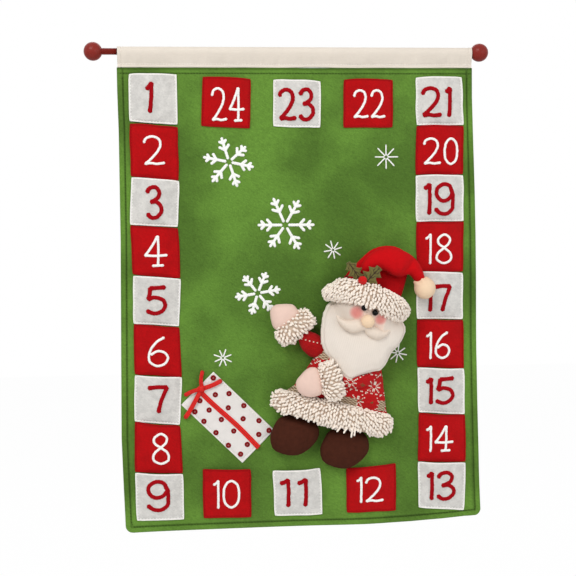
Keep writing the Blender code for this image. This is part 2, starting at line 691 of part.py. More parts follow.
def make_hat_tip(parent):
    start = parent.matrix_world.translation
    way = turned([(0, -1)], -TIP_LEAN)[0]
    r = TIP_RADIUS
    top = np.array([start.x, start.z]) - way * r
    end = np.array([start.x, start.z]) + way * TIP_LENGTH
    path = [(top[0], TIP_FORWARD, top[1]), (end[0], TIP_FORWARD, end[1])]
    tip = limb("hat_tip", path, (0, r * 0.90, r, r * 0.94, r * 0.84, r * 0.72, TIP_END_RADIUS, 0),
               "red_felt", parent, 1.0, LIMB_SIDES, LIMB_STEPS + 2)
    centre = end + way * POMPOM_RADIUS * 0.72
    pompom = ball("hat_pompom", (centre[0], forward(POMPOM_FORWARD), centre[1]), POMPOM_RADIUS,
                  "skin_fleece", parent, 18)
    fit_round(tip, [pompom])
    return tip, pompom


def make_brim(parent):
    half = BRIM_HEIGHT / 2
    middle = on_head(0.0316, 0.2037)
    path = []
    place_shares = [(-0.50, -0.13, 0.32), (-0.34, -0.04, 0.76), (0, 0.01, 1.0), (0.34, -0.01, 0.76),
                    (0.48, -0.04, 0.32)]
    for across_share, up_share, depth_share in place_shares:
        x, z = middle + turned([(across_share * BRIM_WIDTH, up_share * BRIM_WIDTH)], HEAD_LEAN)[0]
        path.append((x, depth_share * (HEAD_DEPTH + BRIM_DEPTH * 0.1), z))
    return limb("hat_brim", path, (half * 0.7, half * 0.9, half, half, half, half * 0.9, half * 0.7),
                "loop_pile", parent, BRIM_DEPTH / BRIM_HEIGHT)


def make_beard(parent):
    outline_shares = [(0.09, 0.5), (-0.2, 0.48), (-0.39, 0.40), (-0.47, 0.25), (-0.50, 0), (-0.47, -0.16),
                      (-0.35, -0.33), (-0.26, -0.46), (-0.19, -0.50), (-0.09, -0.465), (0.03, -0.43),
                      (0.18, -0.40), (0.26, -0.31), (0.32, -0.20), (0.41, -0.12), (0.48, 0),
                      (0.50, 0.09), (0.45, 0.19), (0.3, 0.38)]
    return pillow("beard", on_head(-0.0597, -0.4144), (BEARD_WIDTH, BEARD_LENGTH), outline_shares,
                  (BEARD_FORWARD, BEARD_DEPTH, BEARD_DEPTH * 0.6), "white_fleece", 0.0, parent, BEARD_FOOT)


def make_moustache(parent):
    """Two drooping lobes that meet below the nose and turn up at their thin ends."""
    middle = on_head(-0.0492, -0.2318)
    place_shares = [(-0.52, 0.11, 0.74), (-0.39, -0.01, 0.88), (-0.24, -0.045, 0.98), (0, 0, 1.0),
                    (0.21, -0.065, 0.98), (0.36, -0.04, 0.88), (0.46, 0.03, 0.78)]
    path = []
    for across_share, up_share, depth_share in place_shares:
        x, z = middle + turned([(across_share * MOUSTACHE_WIDTH, up_share * MOUSTACHE_WIDTH)], DOLL_LEAN)[0]
        path.append((x, depth_share * MOUSTACHE_FORWARD, z))
    r = MOUSTACHE_RADIUS
    return limb("moustache", path, (0, r * 0.55, r, r * 0.95, r * 0.62, r * 0.95, r, r * 0.55, 0),
                "white_fleece", parent, 0.75, 12, 13)


def make_face(parent):
    nose_place = on_head(-0.0421, -0.1615)
    nose = ball("nose", (nose_place[0], forward(HEAD_DEPTH + NOSE_RADIUS * 0.35), nose_place[1]),
                NOSE_RADIUS, "skin_fleece", parent, 16)
    eyes = []
    for name, across_share, up_share in (("eye_left", -0.0773, 0.0474),
                                        ("eye_right", 0.0913, -0.0316)):
        x, z = on_head(across_share, up_share)
        eyes.append(ball(name, (x, forward(HEAD_DEPTH - EYE_RADIUS * 0.2), z), EYE_RADIUS,
                         "black_bead", parent, 12))
    return nose, eyes


def make_leaf(name, place, lean, distance, parent):
    """A holly leaf: a long oval whose edge runs out to points and in between them."""
    outline_shares = [(0.5, 0), (0.28, 0.20), (0.27, 0.44), (0.06, 0.26), (-0.04, 0.5), (-0.17, 0.24),
                      (-0.31, 0.36), (-0.33, 0.12), (-0.5, 0), (-0.33, -0.12), (-0.31, -0.36),
                      (-0.17, -0.24), (-0.04, -0.5), (0.06, -0.26), (0.27, -0.44), (0.28, -0.20)]
    outline = turned(np.array(outline_shares) * (LEAF_LENGTH, LEAF_WIDTH), lean) + place
    return slab(name, outline, forward(distance), forward(distance - LEAF_THICKNESS), "leaf_cloth", parent)


def make_arm(side, sleeve_path, cuff_middle, cuff_turn, hand_way, reach_share, depth, parent):
    """Sleeve, cuff and mitten of one arm. The cuff lies across the arm at its own turn."""
    r = SLEEVE_ARM_RADIUS
    sleeve = limb(f"arm_{side}", sleeve_path, (0, r * 0.85, r, r, r * 0.95, r * 0.7, 0), "red_knit",
                  parent, 0.72)
    way = np.array([math.cos(math.radians(cuff_turn)), math.sin(math.radians(cuff_turn))])
    a, b = cuff_middle - way * CUFF_LENGTH / 2, cuff_middle + way * CUFF_LENGTH / 2
    path = [(a[0], depth, a[1]), (cuff_middle[0], depth + CUFF_RADIUS * 0.15, cuff_middle[1]),
            (b[0], depth, b[1])]
    r = CUFF_RADIUS
    cuff = limb(f"cuff_{side}", path, (r * 0.55, r * 0.95, r, r, r * 0.95, r * 0.55), "loop_pile",
                parent, 0.92)
    way = np.array([math.cos(math.radians(hand_way)), math.sin(math.radians(hand_way))])
    start = cuff_middle + way * CUFF_RADIUS * reach_share
    end = start + way * HAND_LENGTH
    r = HAND_RADIUS
    path = [(start[0], depth, start[1]), (end[0], depth, end[1])]
    hand = limb(f"hand_{side}", path, (r * 0.4, r * 0.8, r * 0.98, r, r * 0.85, 0), "skin_fleece",
                parent, HAND_DEPTH_RADIUS / HAND_RADIUS)
    return sleeve, cuff, hand


def boot_hinge(across_share):
    """The leg's round top, just under the coat's lower edge and behind the trim."""
    x, z = hem_place(across_share, -0.16)
    return Vector((float(x), forward(LEG_FORWARD), float(z)))


def make_boot(name, offset_shares, lean, parent):
    start = parent.matrix_world.translation
    centre = np.array([start.x + offset_shares[0] * BOOT_WIDTH, start.z + offset_shares[1] * BOOT_HEIGHT])
    outline_shares = [(-0.50, -0.12), (-0.46, 0.14), (-0.36, 0.38), (-0.10, 0.50), (0.20, 0.50), (0.42, 0.36),
                      (0.50, 0.04), (0.36, -0.26), (0.14, -0.466), (-0.12, -0.50), (-0.40, -0.40)]
    rim = LEG_FORWARD
    boot = pillow(name, centre, (BOOT_WIDTH, BOOT_HEIGHT), outline_shares,
                  (rim, BOOT_DEPTH - rim, rim - SEAT), "brown_plush", lean, parent)
    r = LEG_RADIUS
    path = [(start.x, rim, start.z + r), (start.x, rim, start.z),
            ((start.x + centre[0]) / 2, rim, (start.z + centre[1]) / 2), (centre[0], rim, centre[1])]
    leg = limb("leg", path, (0, r, r, r, r, r * 0.8, 0), "brown_plush", None, 1.0, 12, 9)
    combine(boot, [leg], "UNION")
    bpy.data.objects.remove(leg, do_unlink=True)
    return boot


def make_doll(banner, tip_pivot, boot_pivots):
    """Every stuffed piece, the larger ones first: each later one is cut to fit round them."""
    coat = make_coat(banner)
    head = make_head(banner)
    fit_round(head, [coat])
    tip, pompom = make_hat_tip(tip_pivot)
    crown = make_hat_crown(banner)
    fit_round(crown, [head])
    sweep = swept_hull(tip, swing_turns(tip_pivot.matrix_world.translation, -TIP_LEAN, TIP_SWING))
    combine(crown, [sweep], "DIFFERENCE")
    bpy.data.objects.remove(sweep, do_unlink=True)
    beard = make_beard(banner)
    fit_round(beard, [coat, head, crown])
    trim = make_trim(banner)
    fit_round(trim, [coat])
    brim = make_brim(banner)
    fit_round(brim, [head, crown, beard, tip])
    moustache = make_moustache(banner)
    fit_round(moustache, [head, beard, brim])
    nose, eyes = make_face(banner)
    fit_round(nose, [head, beard, moustache, brim])
    for eye in eyes:
        fit_round(eye, [head, brim, nose, moustache])

    leaves = []
    for name, place, lean, distance in (
            ("holly_leaf_left", on_head(-0.2142, 0.5900), 25, LEAF_LEFT_FORWARD),
            ("holly_leaf_right", on_head(0.0140, 0.5408), -28, LEAF_RIGHT_FORWARD)):
        leaf = make_leaf(name, place, lean, distance, banner)
        fit_round(leaf, [crown, brim, tip] + leaves)
        leaves.append(leaf)
    x, z = on_head(-0.1229, 0.4671)
    berry = ball("holly_berry", (x, forward(LEAF_RIGHT_FORWARD), z), BERRY_RADIUS, "red_felt",
                 banner, 14)
    fit_round(berry, [brim, crown] + leaves)

    shoulder, elbow, wrist = (on_coat(-0.0878, 0.1463), on_coat(-0.2828, 0.2072),
                              on_coat(-0.4657, 0.3779))
    path = [(*shoulder[:1], RAISED_FORWARD, shoulder[1]), (*elbow[:1], RAISED_FORWARD, elbow[1]),
            (*wrist[:1], RAISED_FORWARD, wrist[1])]
    sleeve, cuff, hand = make_arm("raised", path, on_coat(-0.5217, 0.4364), 38.5, 131, -0.3,
                                  RAISED_FORWARD, banner)
    fit_round(cuff, [coat, beard])
    fit_round(sleeve, [coat, beard, cuff])
    fit_round(hand, [cuff])

    shoulder, elbow, wrist = (on_coat(0.3755, -0.0488), on_coat(0.1804, -0.1097),
                              on_coat(-0.0878, -0.1341))
    path = [(*shoulder[:1], LOWER_FORWARD * 0.55, shoulder[1]), (*elbow[:1], LOWER_FORWARD * 0.8, elbow[1]),
            (*wrist[:1], LOWER_FORWARD, wrist[1])]
    sleeve, cuff, hand = make_arm("lowered", path, on_coat(-0.1463, -0.1268), -76, 184, 0.45,
                                  LOWER_FORWARD, banner)
    fit_round(cuff, [coat, beard, trim])
    fit_round(sleeve, [coat, beard, cuff, trim])
    fit_round(hand, [coat, cuff, trim])

    patch = bpy.data.objects["gift_patch"]
    for name, pivot, offset_shares, lean in (("boot_left", boot_pivots[0], (-0.16, -0.605), 8.0),
                                             ("boot_right", boot_pivots[1], (-0.17, -0.64), 10.0)):
        boot = make_boot(name, offset_shares, lean, pivot)
        turns = swing_turns(pivot.matrix_world.translation, DOLL_LEAN, -BOOT_SWING)
        fit_round(boot, [coat, trim, patch], turns)


def main():
    clear_scene()
    rod = empty("rod_frame")
    slide = empty("sleeve_slide", (SLEEVE_CENTRE_X, 0, 0), rod)
    banner = empty("banner_seam", (SLEEVE_CENTRE_X, 0, SEAM_Z), slide)
    tip_pivot = empty("hat_fold", tip_hinge(), banner)
    boot_pivots = [empty("hip_left", boot_hinge(-0.235), banner),
                   empty("hip_right", boot_hinge(0.185), banner)]
    make_rod(rod)
    make_sleeve(slide)
    make_banner(banner)
    for number in range(1, POCKET_COUNT + 1):
        make_pocket(number, banner)
    make_gift(banner)
    make_doll(banner, tip_pivot, boot_pivots)
    for mesh in [mesh for mesh in bpy.data.meshes if not mesh.users]:
        bpy.data.meshes.remove(mesh)


main()
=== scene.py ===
"""Dresses the hanging advent calendar's frame: cloth, felt pockets, stitching and the stuffed figure.

Metres, in the frame's own axes: +X to the right, the front faces -Y, +Z up, the origin in the middle
of the rod. Laid out as an add-on, and run as a script.
"""

import json
import math

import bmesh
import bpy
import numpy as np
from bpy.props import FloatProperty, FloatVectorProperty, PointerProperty
from bpy.types import Operator, Panel, PropertyGroup
from mathutils import Matrix, Vector
from mathutils.bvhtree import BVHTree


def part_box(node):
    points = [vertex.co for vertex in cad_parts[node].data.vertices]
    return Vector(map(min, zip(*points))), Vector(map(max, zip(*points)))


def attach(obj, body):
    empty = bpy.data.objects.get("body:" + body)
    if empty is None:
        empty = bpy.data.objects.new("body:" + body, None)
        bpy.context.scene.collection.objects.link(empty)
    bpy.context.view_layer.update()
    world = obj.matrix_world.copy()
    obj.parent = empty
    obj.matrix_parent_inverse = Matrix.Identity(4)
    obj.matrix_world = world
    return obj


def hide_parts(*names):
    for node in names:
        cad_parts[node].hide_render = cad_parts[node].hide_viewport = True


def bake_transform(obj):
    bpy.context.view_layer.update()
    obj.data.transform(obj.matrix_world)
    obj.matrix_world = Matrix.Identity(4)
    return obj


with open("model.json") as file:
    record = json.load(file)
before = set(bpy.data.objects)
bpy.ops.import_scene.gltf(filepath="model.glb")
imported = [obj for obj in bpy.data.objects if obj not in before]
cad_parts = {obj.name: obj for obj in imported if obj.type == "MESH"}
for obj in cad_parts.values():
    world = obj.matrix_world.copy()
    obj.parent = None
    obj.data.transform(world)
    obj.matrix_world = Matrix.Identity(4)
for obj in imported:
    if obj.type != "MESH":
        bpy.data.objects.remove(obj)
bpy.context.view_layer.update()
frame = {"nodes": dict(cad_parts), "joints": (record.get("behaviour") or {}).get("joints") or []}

bl_info = {
    "name": "Hanging advent calendar",
    "version": (1, 0, 0),
    "blender": (4, 5, 0),
    "location": "3D View > Sidebar > Calendar",
    "description": "Felt pocket calendar on a rod, with a stuffed figure and a gift",
    "category": "Add Mesh",
}

# Places that the frame gives
BANNER_LOW, BANNER_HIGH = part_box("front_cloth")
LINING_LOW, LINING_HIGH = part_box("back_lining")
SLEEVE_LOW, SLEEVE_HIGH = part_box("rod_sleeve")
MIDDLE_X = (BANNER_LOW.x + BANNER_HIGH.x) / 2
BANNER_WIDTH = BANNER_HIGH.x - BANNER_LOW.x
BANNER_HEIGHT = BANNER_HIGH.z - BANNER_LOW.z
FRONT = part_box("gift_patch")[1].y  # the plane that sewn-on pieces start from
DOLL_LEAN = 14.5  # degrees


# Arrays and meshes

def smooth_curve(points, count, closed=False):
    """A curve through points: each span is the cubic whose ends have the slope of their neighbours' chord."""
    points = np.asarray(points, float)
    if closed:
        held = np.concatenate([points[-1:], points, points[:2]])
        spans = len(points)
        steps = np.arange(count) / count
    else:
        held = np.concatenate([2 * points[:1] - points[1:2], points, 2 * points[-1:] - points[-2:-1]])
        spans = len(points) - 1
        steps = np.linspace(0, 1, count)
    along = np.minimum(steps * spans, spans - 1e-9)
    i = along.astype(int)
    t = (along - i)[:, None]
    a, b, c, d = held[i], held[i + 1], held[i + 2], held[i + 3]
    return 0.5 * (2 * b + (c - a) * t + (2 * a - 5 * b + 4 * c - d) * t**2
                  + (3 * b - a - 3 * c + d) * t**3)


def even_curve(points, count, closed=False):
    """The same curve with its points moved to even steps of its own length."""
    fine = smooth_curve(points, 40 * len(points), closed)
    if closed:
        fine = np.concatenate([fine, fine[:1]])
    walked = np.concatenate([[0], np.cumsum(np.linalg.norm(np.diff(fine, axis=0), axis=1))])
    at = np.linspace(0, walked[-1], count + 1)[:-1] if closed else np.linspace(0, walked[-1], count)
    return np.stack([np.interp(at, walked, fine[:, k]) for k in range(fine.shape[1])], axis=1)


def length_of(points):
    return float(np.linalg.norm(np.diff(points, axis=0), axis=1).sum())


def unit(vectors):
    return vectors / np.maximum(np.linalg.norm(vectors, axis=-1, keepdims=True), 1e-12)


def turned(points, degrees):
    """Points of the front plane, x then z, turned clockwise as seen from the front."""
    angle = math.radians(degrees)
    x, z = np.moveaxis(np.asarray(points, float), -1, 0)
    return np.stack([x * math.cos(angle) + z * math.sin(angle),
                     z * math.cos(angle) - x * math.sin(angle)], axis=-1)


def waves(x, z, seed, size, layers=6):
    """Soft unevenness from -1 to 1: a mean of sine waves with seeded directions, about size apart."""
    rng = np.random.default_rng(seed)
    total = np.zeros(np.broadcast(x, z).shape)
    for turn, step, start in rng.random((layers, 3)):
        k = 2 * math.pi / (size * (0.7 + 0.9 * step))
        total += np.sin(k * (x * math.cos(turn * math.pi) + z * math.sin(turn * math.pi))
                        + 2 * math.pi * start)
    return total / layers * 1.6


def drape(x, z):
    """How far the hanging banner stands forward of its flat plane: broad folds that fade to the rod."""
    down = np.clip((BANNER_HIGH.z - z) / BANNER_HEIGHT, 0, 1)
    across = (x - MIDDLE_X) / BANNER_WIDTH
    folds = 0.0019 * np.sin(2 * math.pi * (1.15 * across + 0.1)) + 0.0010 * np.sin(
        2 * math.pi * (2.6 * across + 0.8 * down))
    corners = 0.0028 * np.abs(2 * across) ** 3 * down**4
    return (folds * down**0.8 + 0.0009 * waves(x, z, 3, 0.14) * np.sqrt(down) + corners)


def hang(points):
    """Points moved forward with the banner's folds."""
    points = np.array(points, float)
    points[..., 1] -= drape(points[..., 0], points[..., 2])
    return points


def cells(rows, columns, round_columns=False, round_rows=False):
    """Four corner numbers for each cell of a grid. A round side joins its last line to its first."""
    ids = np.arange(rows * columns).reshape(rows, columns)
    if round_columns:
        ids = np.concatenate([ids, ids[:, :1]], axis=1)
    if round_rows:
        ids = np.concatenate([ids, ids[:1]], axis=0)
    return np.stack([ids[:-1, :-1], ids[:-1, 1:], ids[1:, 1:], ids[1:, :-1]], axis=-1).reshape(-1, 4)


def make_mesh(name, points, faces, materials, uv=None, marks=None):
    """A mesh object from arrays. faces is a list of arrays of corner numbers, marks their materials."""
    faces = [np.asarray(f) for f in faces if len(f)]
    loops = np.concatenate([f.ravel() for f in faces])
    sizes = np.concatenate([np.full(len(f), f.shape[1]) for f in faces])
    mesh = bpy.data.meshes.new(name)
    mesh.vertices.add(len(points))
    mesh.vertices.foreach_set("co", np.asarray(points, np.float32).ravel())
    mesh.loops.add(len(loops))
    mesh.loops.foreach_set("vertex_index", loops.astype(np.int32))
    mesh.polygons.add(len(sizes))
    mesh.polygons.foreach_set("loop_start", np.concatenate([[0], np.cumsum(sizes)[:-1]]).astype(np.int32))
    if marks is not None:
        mesh.polygons.foreach_set("material_index", np.asarray(marks, np.int32))
    mesh.update(calc_edges=True)
    if uv is not None:
        layer = mesh.uv_layers.new(name="UVMap")
        layer.data.foreach_set("uv", np.asarray(uv, np.float32)[loops].ravel())
    mesh.validate()
    mesh.shade_smooth()
    for material in materials if isinstance(materials, (list, tuple)) else [materials]:
        mesh.materials.append(material)
    made = bpy.data.objects.new(name, mesh)
    bpy.context.scene.collection.objects.link(made)
    return made


def shell(front, back, uv=None):
    """A closed thin solid from two grids: the front skin, the back one turned round, and their rim."""
    rows, columns = front.shape[:2]
    ids = np.arange(rows * columns).reshape(rows, columns)
    skin = cells(rows, columns)
    rim = np.concatenate([ids[0, :-1], ids[:-1, -1], ids[-1, :0:-1], ids[:0:-1, 0]])
    after, n = np.roll(rim, -1), ids.size
    points = np.concatenate([front.reshape(-1, 3), back.reshape(-1, 3)])
    edge = np.stack([rim, rim + n, after + n, after], axis=1)
    if uv is not None:
        uv = np.concatenate([uv.reshape(-1, 2)] * 2)
    marks = np.repeat([0, 0, 1], [len(skin), len(skin), len(edge)])
    return points, [skin, (skin + n)[:, ::-1], edge], uv, marks


def closed_tube(rings, ends=None):
    """Rings of points (rings, sides, 3), closed at each end by a point: the ring's middle, or one of ends."""
    count, sides = rings.shape[:2]
    if ends is None:
        ends = [rings[0].mean(axis=0), rings[-1].mean(axis=0)]
    points = np.concatenate([rings.reshape(-1, 3), ends])
    last, k = count * sides, np.arange(sides)
    n = (k + 1) % sides
    caps = np.concatenate([np.stack([np.full(sides, last), n, k], axis=1),
                           np.stack([np.full(sides, last + 1), (count - 1) * sides + k,
                                     (count - 1) * sides + n], axis=1)])
    return points, [cells(count, sides, True), caps]


def rounded(edge, radius):
    """The share of a full thickness near an edge: it rises along a quarter circle of that radius."""
    return np.sqrt(np.clip(1 - np.clip(1 - edge / radius, 0, 1) ** 2, 0, 1))


def eased_step(t):
    """A smooth step: three times the square less twice the cube, level at 0 and at 1."""
    return t * t * (3 - 2 * t)


def frames_along(line, towards):
    """Unit vectors along a line, across it and up from it, where up is as near as can be to towards."""
    along = unit(np.gradient(line, axis=0))
    up = towards - along * (along * towards).sum(axis=1, keepdims=True)
    up = unit(up)
    return along, np.cross(up, along), up


def copies(points, faces, places, frames, sizes, uv=None):
    """One small shape set down many times: each point times its copy's sizes, along its copy's axes."""
    many = len(places)
    moved = places[:, None] + np.einsum("mj,nj,mjk->mnk", sizes, points, frames)
    shifts = (np.arange(many) * len(points))[:, None, None]
    out = [(np.asarray(f)[None] + shifts).reshape(-1, np.asarray(f).shape[1]) for f in faces]
    return moved.reshape(-1, 3), out, None if uv is None else np.tile(uv, (many, 1))


def join(parts):
    """Several sets of points and faces as one."""
    points, faces, start = [], {}, 0
    for these, groups in parts:
        points.append(these)
        for group in groups:
            group = np.asarray(group)
            if len(group):
                faces.setdefault(group.shape[1], []).append(group + start)
        start += len(these)
    return np.concatenate(points), [np.concatenate(faces[k]) for k in sorted(faces)]


def ball(radii, sides, rows):
    """Rings of an egg round the origin: circles about Y, each as wide as the cosine of its height's angle."""
    turn, rise = np.meshgrid(np.arange(sides) * 2 * math.pi / sides, np.linspace(-1.5, 1.5, rows))
    rings = np.stack([np.cos(rise) * np.cos(turn), np.sin(rise), np.cos(rise) * np.sin(turn)], axis=-1)
    return rings * radii


FRONTWARD = np.array([0.0, -1.0, 0.0])


def stitch_shape(sides=5, rings=5):
    """A short thread that dives at both ends: a unit-long arch of round section, thickest in the middle."""
    s = np.linspace(0, 1, rings)
    turn = np.arange(sides) * 2 * math.pi / sides
    line = np.stack([s - 0.5, 0 * s, np.sin(math.pi * s) - 0.4], axis=1)
    width = 0.55 + 0.45 * np.sin(math.pi * s)
    rings = np.stack([0 * turn[None] * width[:, None], np.cos(turn) * width[:, None],
                      np.sin(turn) * width[:, None]], axis=-1)
    return closed_tube(line[:, None] + rings)


def stitches(path, pitch, share, radius, side=FRONTWARD, lift=1.0):
    """Running stitches along a path of 3-D points: one arch every pitch, share of it long."""
    count = max(int(length_of(path) / pitch), 1)
    line = even_curve_of(path, 2 * count + 1)
    places = line[1::2]
    along, across, up = frames_along(line, np.tile(side, (len(line), 1)))
    axes = np.stack([along[1::2], across[1::2], up[1::2]], axis=1)
    sizes = np.tile([pitch * share, radius, radius * lift], (count, 1))
    base, faces = stitch_shape()
    points, faces, _ = copies(base, faces, places, axes, sizes)
    return points, faces


def even_curve_of(line, count):
    """A fine line of points, read at even steps of its length."""
    walked = np.concatenate([[0], np.cumsum(np.linalg.norm(np.diff(line, axis=0), axis=1))])
    at = np.linspace(0, walked[-1], count)
    return np.stack([np.interp(at, walked, line[:, k]) for k in range(line.shape[1])], axis=1)


# Shader maths

class Wire:
    """An output socket. Arithmetic on it adds Math nodes."""

    def __init__(self, sheet, socket):
        self.sheet, self.socket = sheet, socket

    def maths(self, operation, *values):
        return self.sheet.node("ShaderNodeMath", {"operation": operation}, dict(enumerate(values)))

    def __add__(self, other):
        return self.maths("ADD", self, other)

    def __radd__(self, other):
        return self.maths("ADD", other, self)

    def __sub__(self, other):
        return self.maths("SUBTRACT", self, other)

    def __rsub__(self, other):
        return self.maths("SUBTRACT", other, self)

    def __mul__(self, other):
        return self.maths("MULTIPLY", self, other)

    def __rmul__(self, other):
        return self.maths("MULTIPLY", other, self)

    def __truediv__(self, other):
        return self.maths("DIVIDE", self, other)

    def __mod__(self, other):
        return self.maths("FLOORED_MODULO", self, other)

    def __lt__(self, other):
        return self.maths("LESS_THAN", self, other)

    def __gt__(self, other):
        return self.maths("GREATER_THAN", self, other)

    def __abs__(self):
        return self.maths("ABSOLUTE", self)

    def floor(self):
        return self.maths("FLOOR", self)

    def sine(self):
        return self.maths("SINE", self)

    def least(self, other):
        return self.maths("MINIMUM", self, other)

    def most(self, other):
        return self.maths("MAXIMUM", self, other)

    def ease(self, low, high):
        """0 below low, 1 above high, and a smooth step between them."""
        return self.sheet.node("ShaderNodeMapRange", {"interpolation_type": "SMOOTHSTEP"},
                               {"Value": self, "From Min": low, "From Max": high})


class NodeSheet:
    """A node tree whose nodes all come from node()."""

    def __init__(self, tree):
        self.tree = tree

    def node(self, kind, settings=None, values=None, output=0):
        made = self.tree.nodes.new(kind)
        for key, value in (settings or {}).items():
            setattr(made, key, value)
        for key, value in (values or {}).items():
            if isinstance(value, Wire):
                self.tree.links.new(value.socket, made.inputs[key])
            else:
                made.inputs[key].default_value = value
        return Wire(self, made.outputs[output]) if made.outputs else None


class Finish(NodeSheet):
    """A material with one Principled shader."""

    def __init__(self, name, colour, roughness, **constants):
        self.material = bpy.data.materials.new(name)
        self.material.use_nodes = True
        super().__init__(self.material.node_tree)
        self.shader = self.tree.nodes["Principled BSDF"]
        self.colour = tuple(colour)
        self.material.diffuse_color = (*self.colour, 1)
        self.shader.inputs["Base Color"].default_value = (*self.colour, 1)
        self.shader.inputs["Roughness"].default_value = roughness
        for key, value in constants.items():
            self.shader.inputs[key.replace("_", " ").title().replace("Ior", "IOR")].default_value = value

    def place(self):
        return self.node("ShaderNodeTexCoord", output="Object")

    def mapped(self, size=(1, 1, 1), turn=(0, 0, 0), centre=(0, 0, 0)):
        """Object coordinates from a centre, turned, then divided by size."""
        moved = self.node("ShaderNodeMapping", {"vector_type": "TEXTURE"},
                          {"Vector": self.place(), "Location": centre, "Rotation": turn, "Scale": size})
        return moved

    def xyz(self, vector):
        return [self.node("ShaderNodeSeparateXYZ", values={0: vector}, output=k) for k in range(3)]

    def uv(self):
        return self.xyz(self.node("ShaderNodeTexCoord", output="UV"))[:2]

    def noise(self, vector, size, detail=2.0, roughness=0.5, distortion=0.0):
        return self.node("ShaderNodeTexNoise", values={
            "Vector": vector, "Scale": 1 / size, "Detail": detail, "Roughness": roughness,
            "Distortion": distortion})

    def mix(self, factor, first, second):
        def full(c):
            return c if isinstance(c, Wire) else (*c, 1)
        return self.node("ShaderNodeMix", {"data_type": "RGBA"},
                         {0: factor, 6: full(first), 7: full(second)}, 2)

    def tint(self, colour, level):
        return self.node("ShaderNodeVectorMath", {"operation": "SCALE"}, {0: colour, "Scale": level})

    def feed(self, name, wire):
        self.tree.links.new(wire.socket, self.shader.inputs[name])
        return self

    def relief(self, height, depth):
        """Bump of that depth in metres from a height of 0 to 1."""
        return self.feed("Normal", self.node("ShaderNodeBump", values={
            "Height": height, "Distance": depth, "Strength": 1.0}))


def felt(name, light, dark, cloud_size=0.012, fibre=0.10, depth=0.00035, border=None, soft=0.5,
         grain=0.0012, sewn=None):
    """Pressed wool: clouds of a lighter and a darker tone under short tangled fibres of a size of grain.

    soft is how gently the clouds pass into each other. border is (width as a share of the piece, colour): the
    cut edge outside the seam, drawn on the piece's UV map. sewn is the hem's depth: painted shade darkens the
    colour in the groove at that distance from the sides and the foot, along the top line of stitches, and in a
    band under the top edge where the casing shades it. U is then the distance from the sides and the foot, and
    V that from the top, both in centimetres.
    """
    f = Finish(name, light, 0.95, sheen_weight=0.04, sheen_roughness=0.6, specular_ior_level=0.12)
    p = f.place()
    clouds = f.noise(p, cloud_size, 3, 0.5, 0.2)
    tangle = f.noise(p, grain, 3, 0.65, 1.2)
    fine = f.noise(p, 0.0009, 2, 0.65, 1.0)
    strands = f.noise(f.mapped((2.6 * grain, 2.6 * grain, 0.7 * grain), (0, 0.5, 0)), 1.0, 3, 0.6, 0.8)
    body = f.mix(clouds.ease(0.5 - soft / 2, 0.5 + soft / 2), dark, light)
    if border:
        u, v = f.uv()
        inward = u.least(1.0 - u).least(v).least(1.0 - v) + (tangle - 0.5) * 0.012
        body = f.mix(inward.ease(0.72 * border[0], border[0]), border[1], body)
    if sewn:
        side, drop = f.uv()
        # Painted shade: darker in the hem's groove, along the top line of stitches and in a band under the
        # casing.
        shade = (1.0 - abs(side - 100 * sewn).ease(0.04, 0.22)) * 0.34
        shade = shade.most((1.0 - abs(drop - 0.75).ease(0.04, 0.20)) * 0.26)
        shade = shade.most((1.0 - drop.ease(0.12, 0.46)) * 0.42)
        body = f.tint(body, 1.0 - shade)
    f.feed("Base Color", f.tint(body, 1.0 + (tangle - 0.5) * (2 * fibre) + (strands - 0.5) * (1.6 * fibre)
                                + (fine - 0.5) * fibre))
    f.relief(tangle * 0.4 + strands * 0.3 + fine * 0.3, depth)
    return f.material


def thread(name, colour, turns=6.0, depth=0.0004, roughness=0.7, shade=0.22):
    """Yarn: slanting plies round it, from a UV map with its length along U and its girth along V."""
    f = Finish(name, colour, roughness, specular_ior_level=0.06)
    u, v = f.uv()
    ply = ((u * turns + v * 2.0) * (2 * math.pi)).sine() * 0.5 + 0.5
    fuzz = f.noise(f.place(), 0.0009, 2, 0.6)
    # Painted shade: the colour darkens between the plies.
    f.feed("Base Color", f.tint(f.colour, (1 - shade) + ply * shade + (fuzz - 0.5) * 0.12))
    f.relief(ply * 0.8 + fuzz * 0.2, depth)
    return f.material


def plush(name, colour, level=0.12, size=0.004, fibre=0.0008, depth=0.0003, sheen=0.08, roughness=0.88,
          warm=None):
    """Short soft pile: fibres in small brushed patches."""
    f = Finish(name, colour, roughness, sheen_weight=sheen, sheen_roughness=0.5, specular_ior_level=0.12)
    p = f.place()
    patches = f.noise(p, size, 3, 0.55)
    fibres = f.noise(p, fibre, 3, 0.7, 0.5)
    tone = 1.0 + (patches - 0.5) * (2 * level) + (fibres - 0.5) * level
    base = f.colour
    if warm:
        base = f.mix(f.noise(p, size * 4, 2).ease(0.35, 0.65), f.colour, warm)
    f.feed("Base Color", f.tint(base, tone))
    f.relief(fibres * 0.7 + patches * 0.3, depth)
    return f.material


def lacquer(name, colour):
    """Painted wood: a deep even colour with faint long grain and a glossy coat."""
    f = Finish(name, colour, 0.36, coat_weight=0.05, coat_roughness=0.12, specular_ior_level=0.16)
    p = f.mapped((0.03, 0.0022, 0.0022))
    grain = f.noise(p, 1.0, 3, 0.6, 0.6)
    f.feed("Base Color", f.tint(f.colour, 0.86 + grain * 0.28))
    f.feed("Roughness", 0.30 + grain * 0.12)
    f.relief(grain, 0.00006)
    return f.material


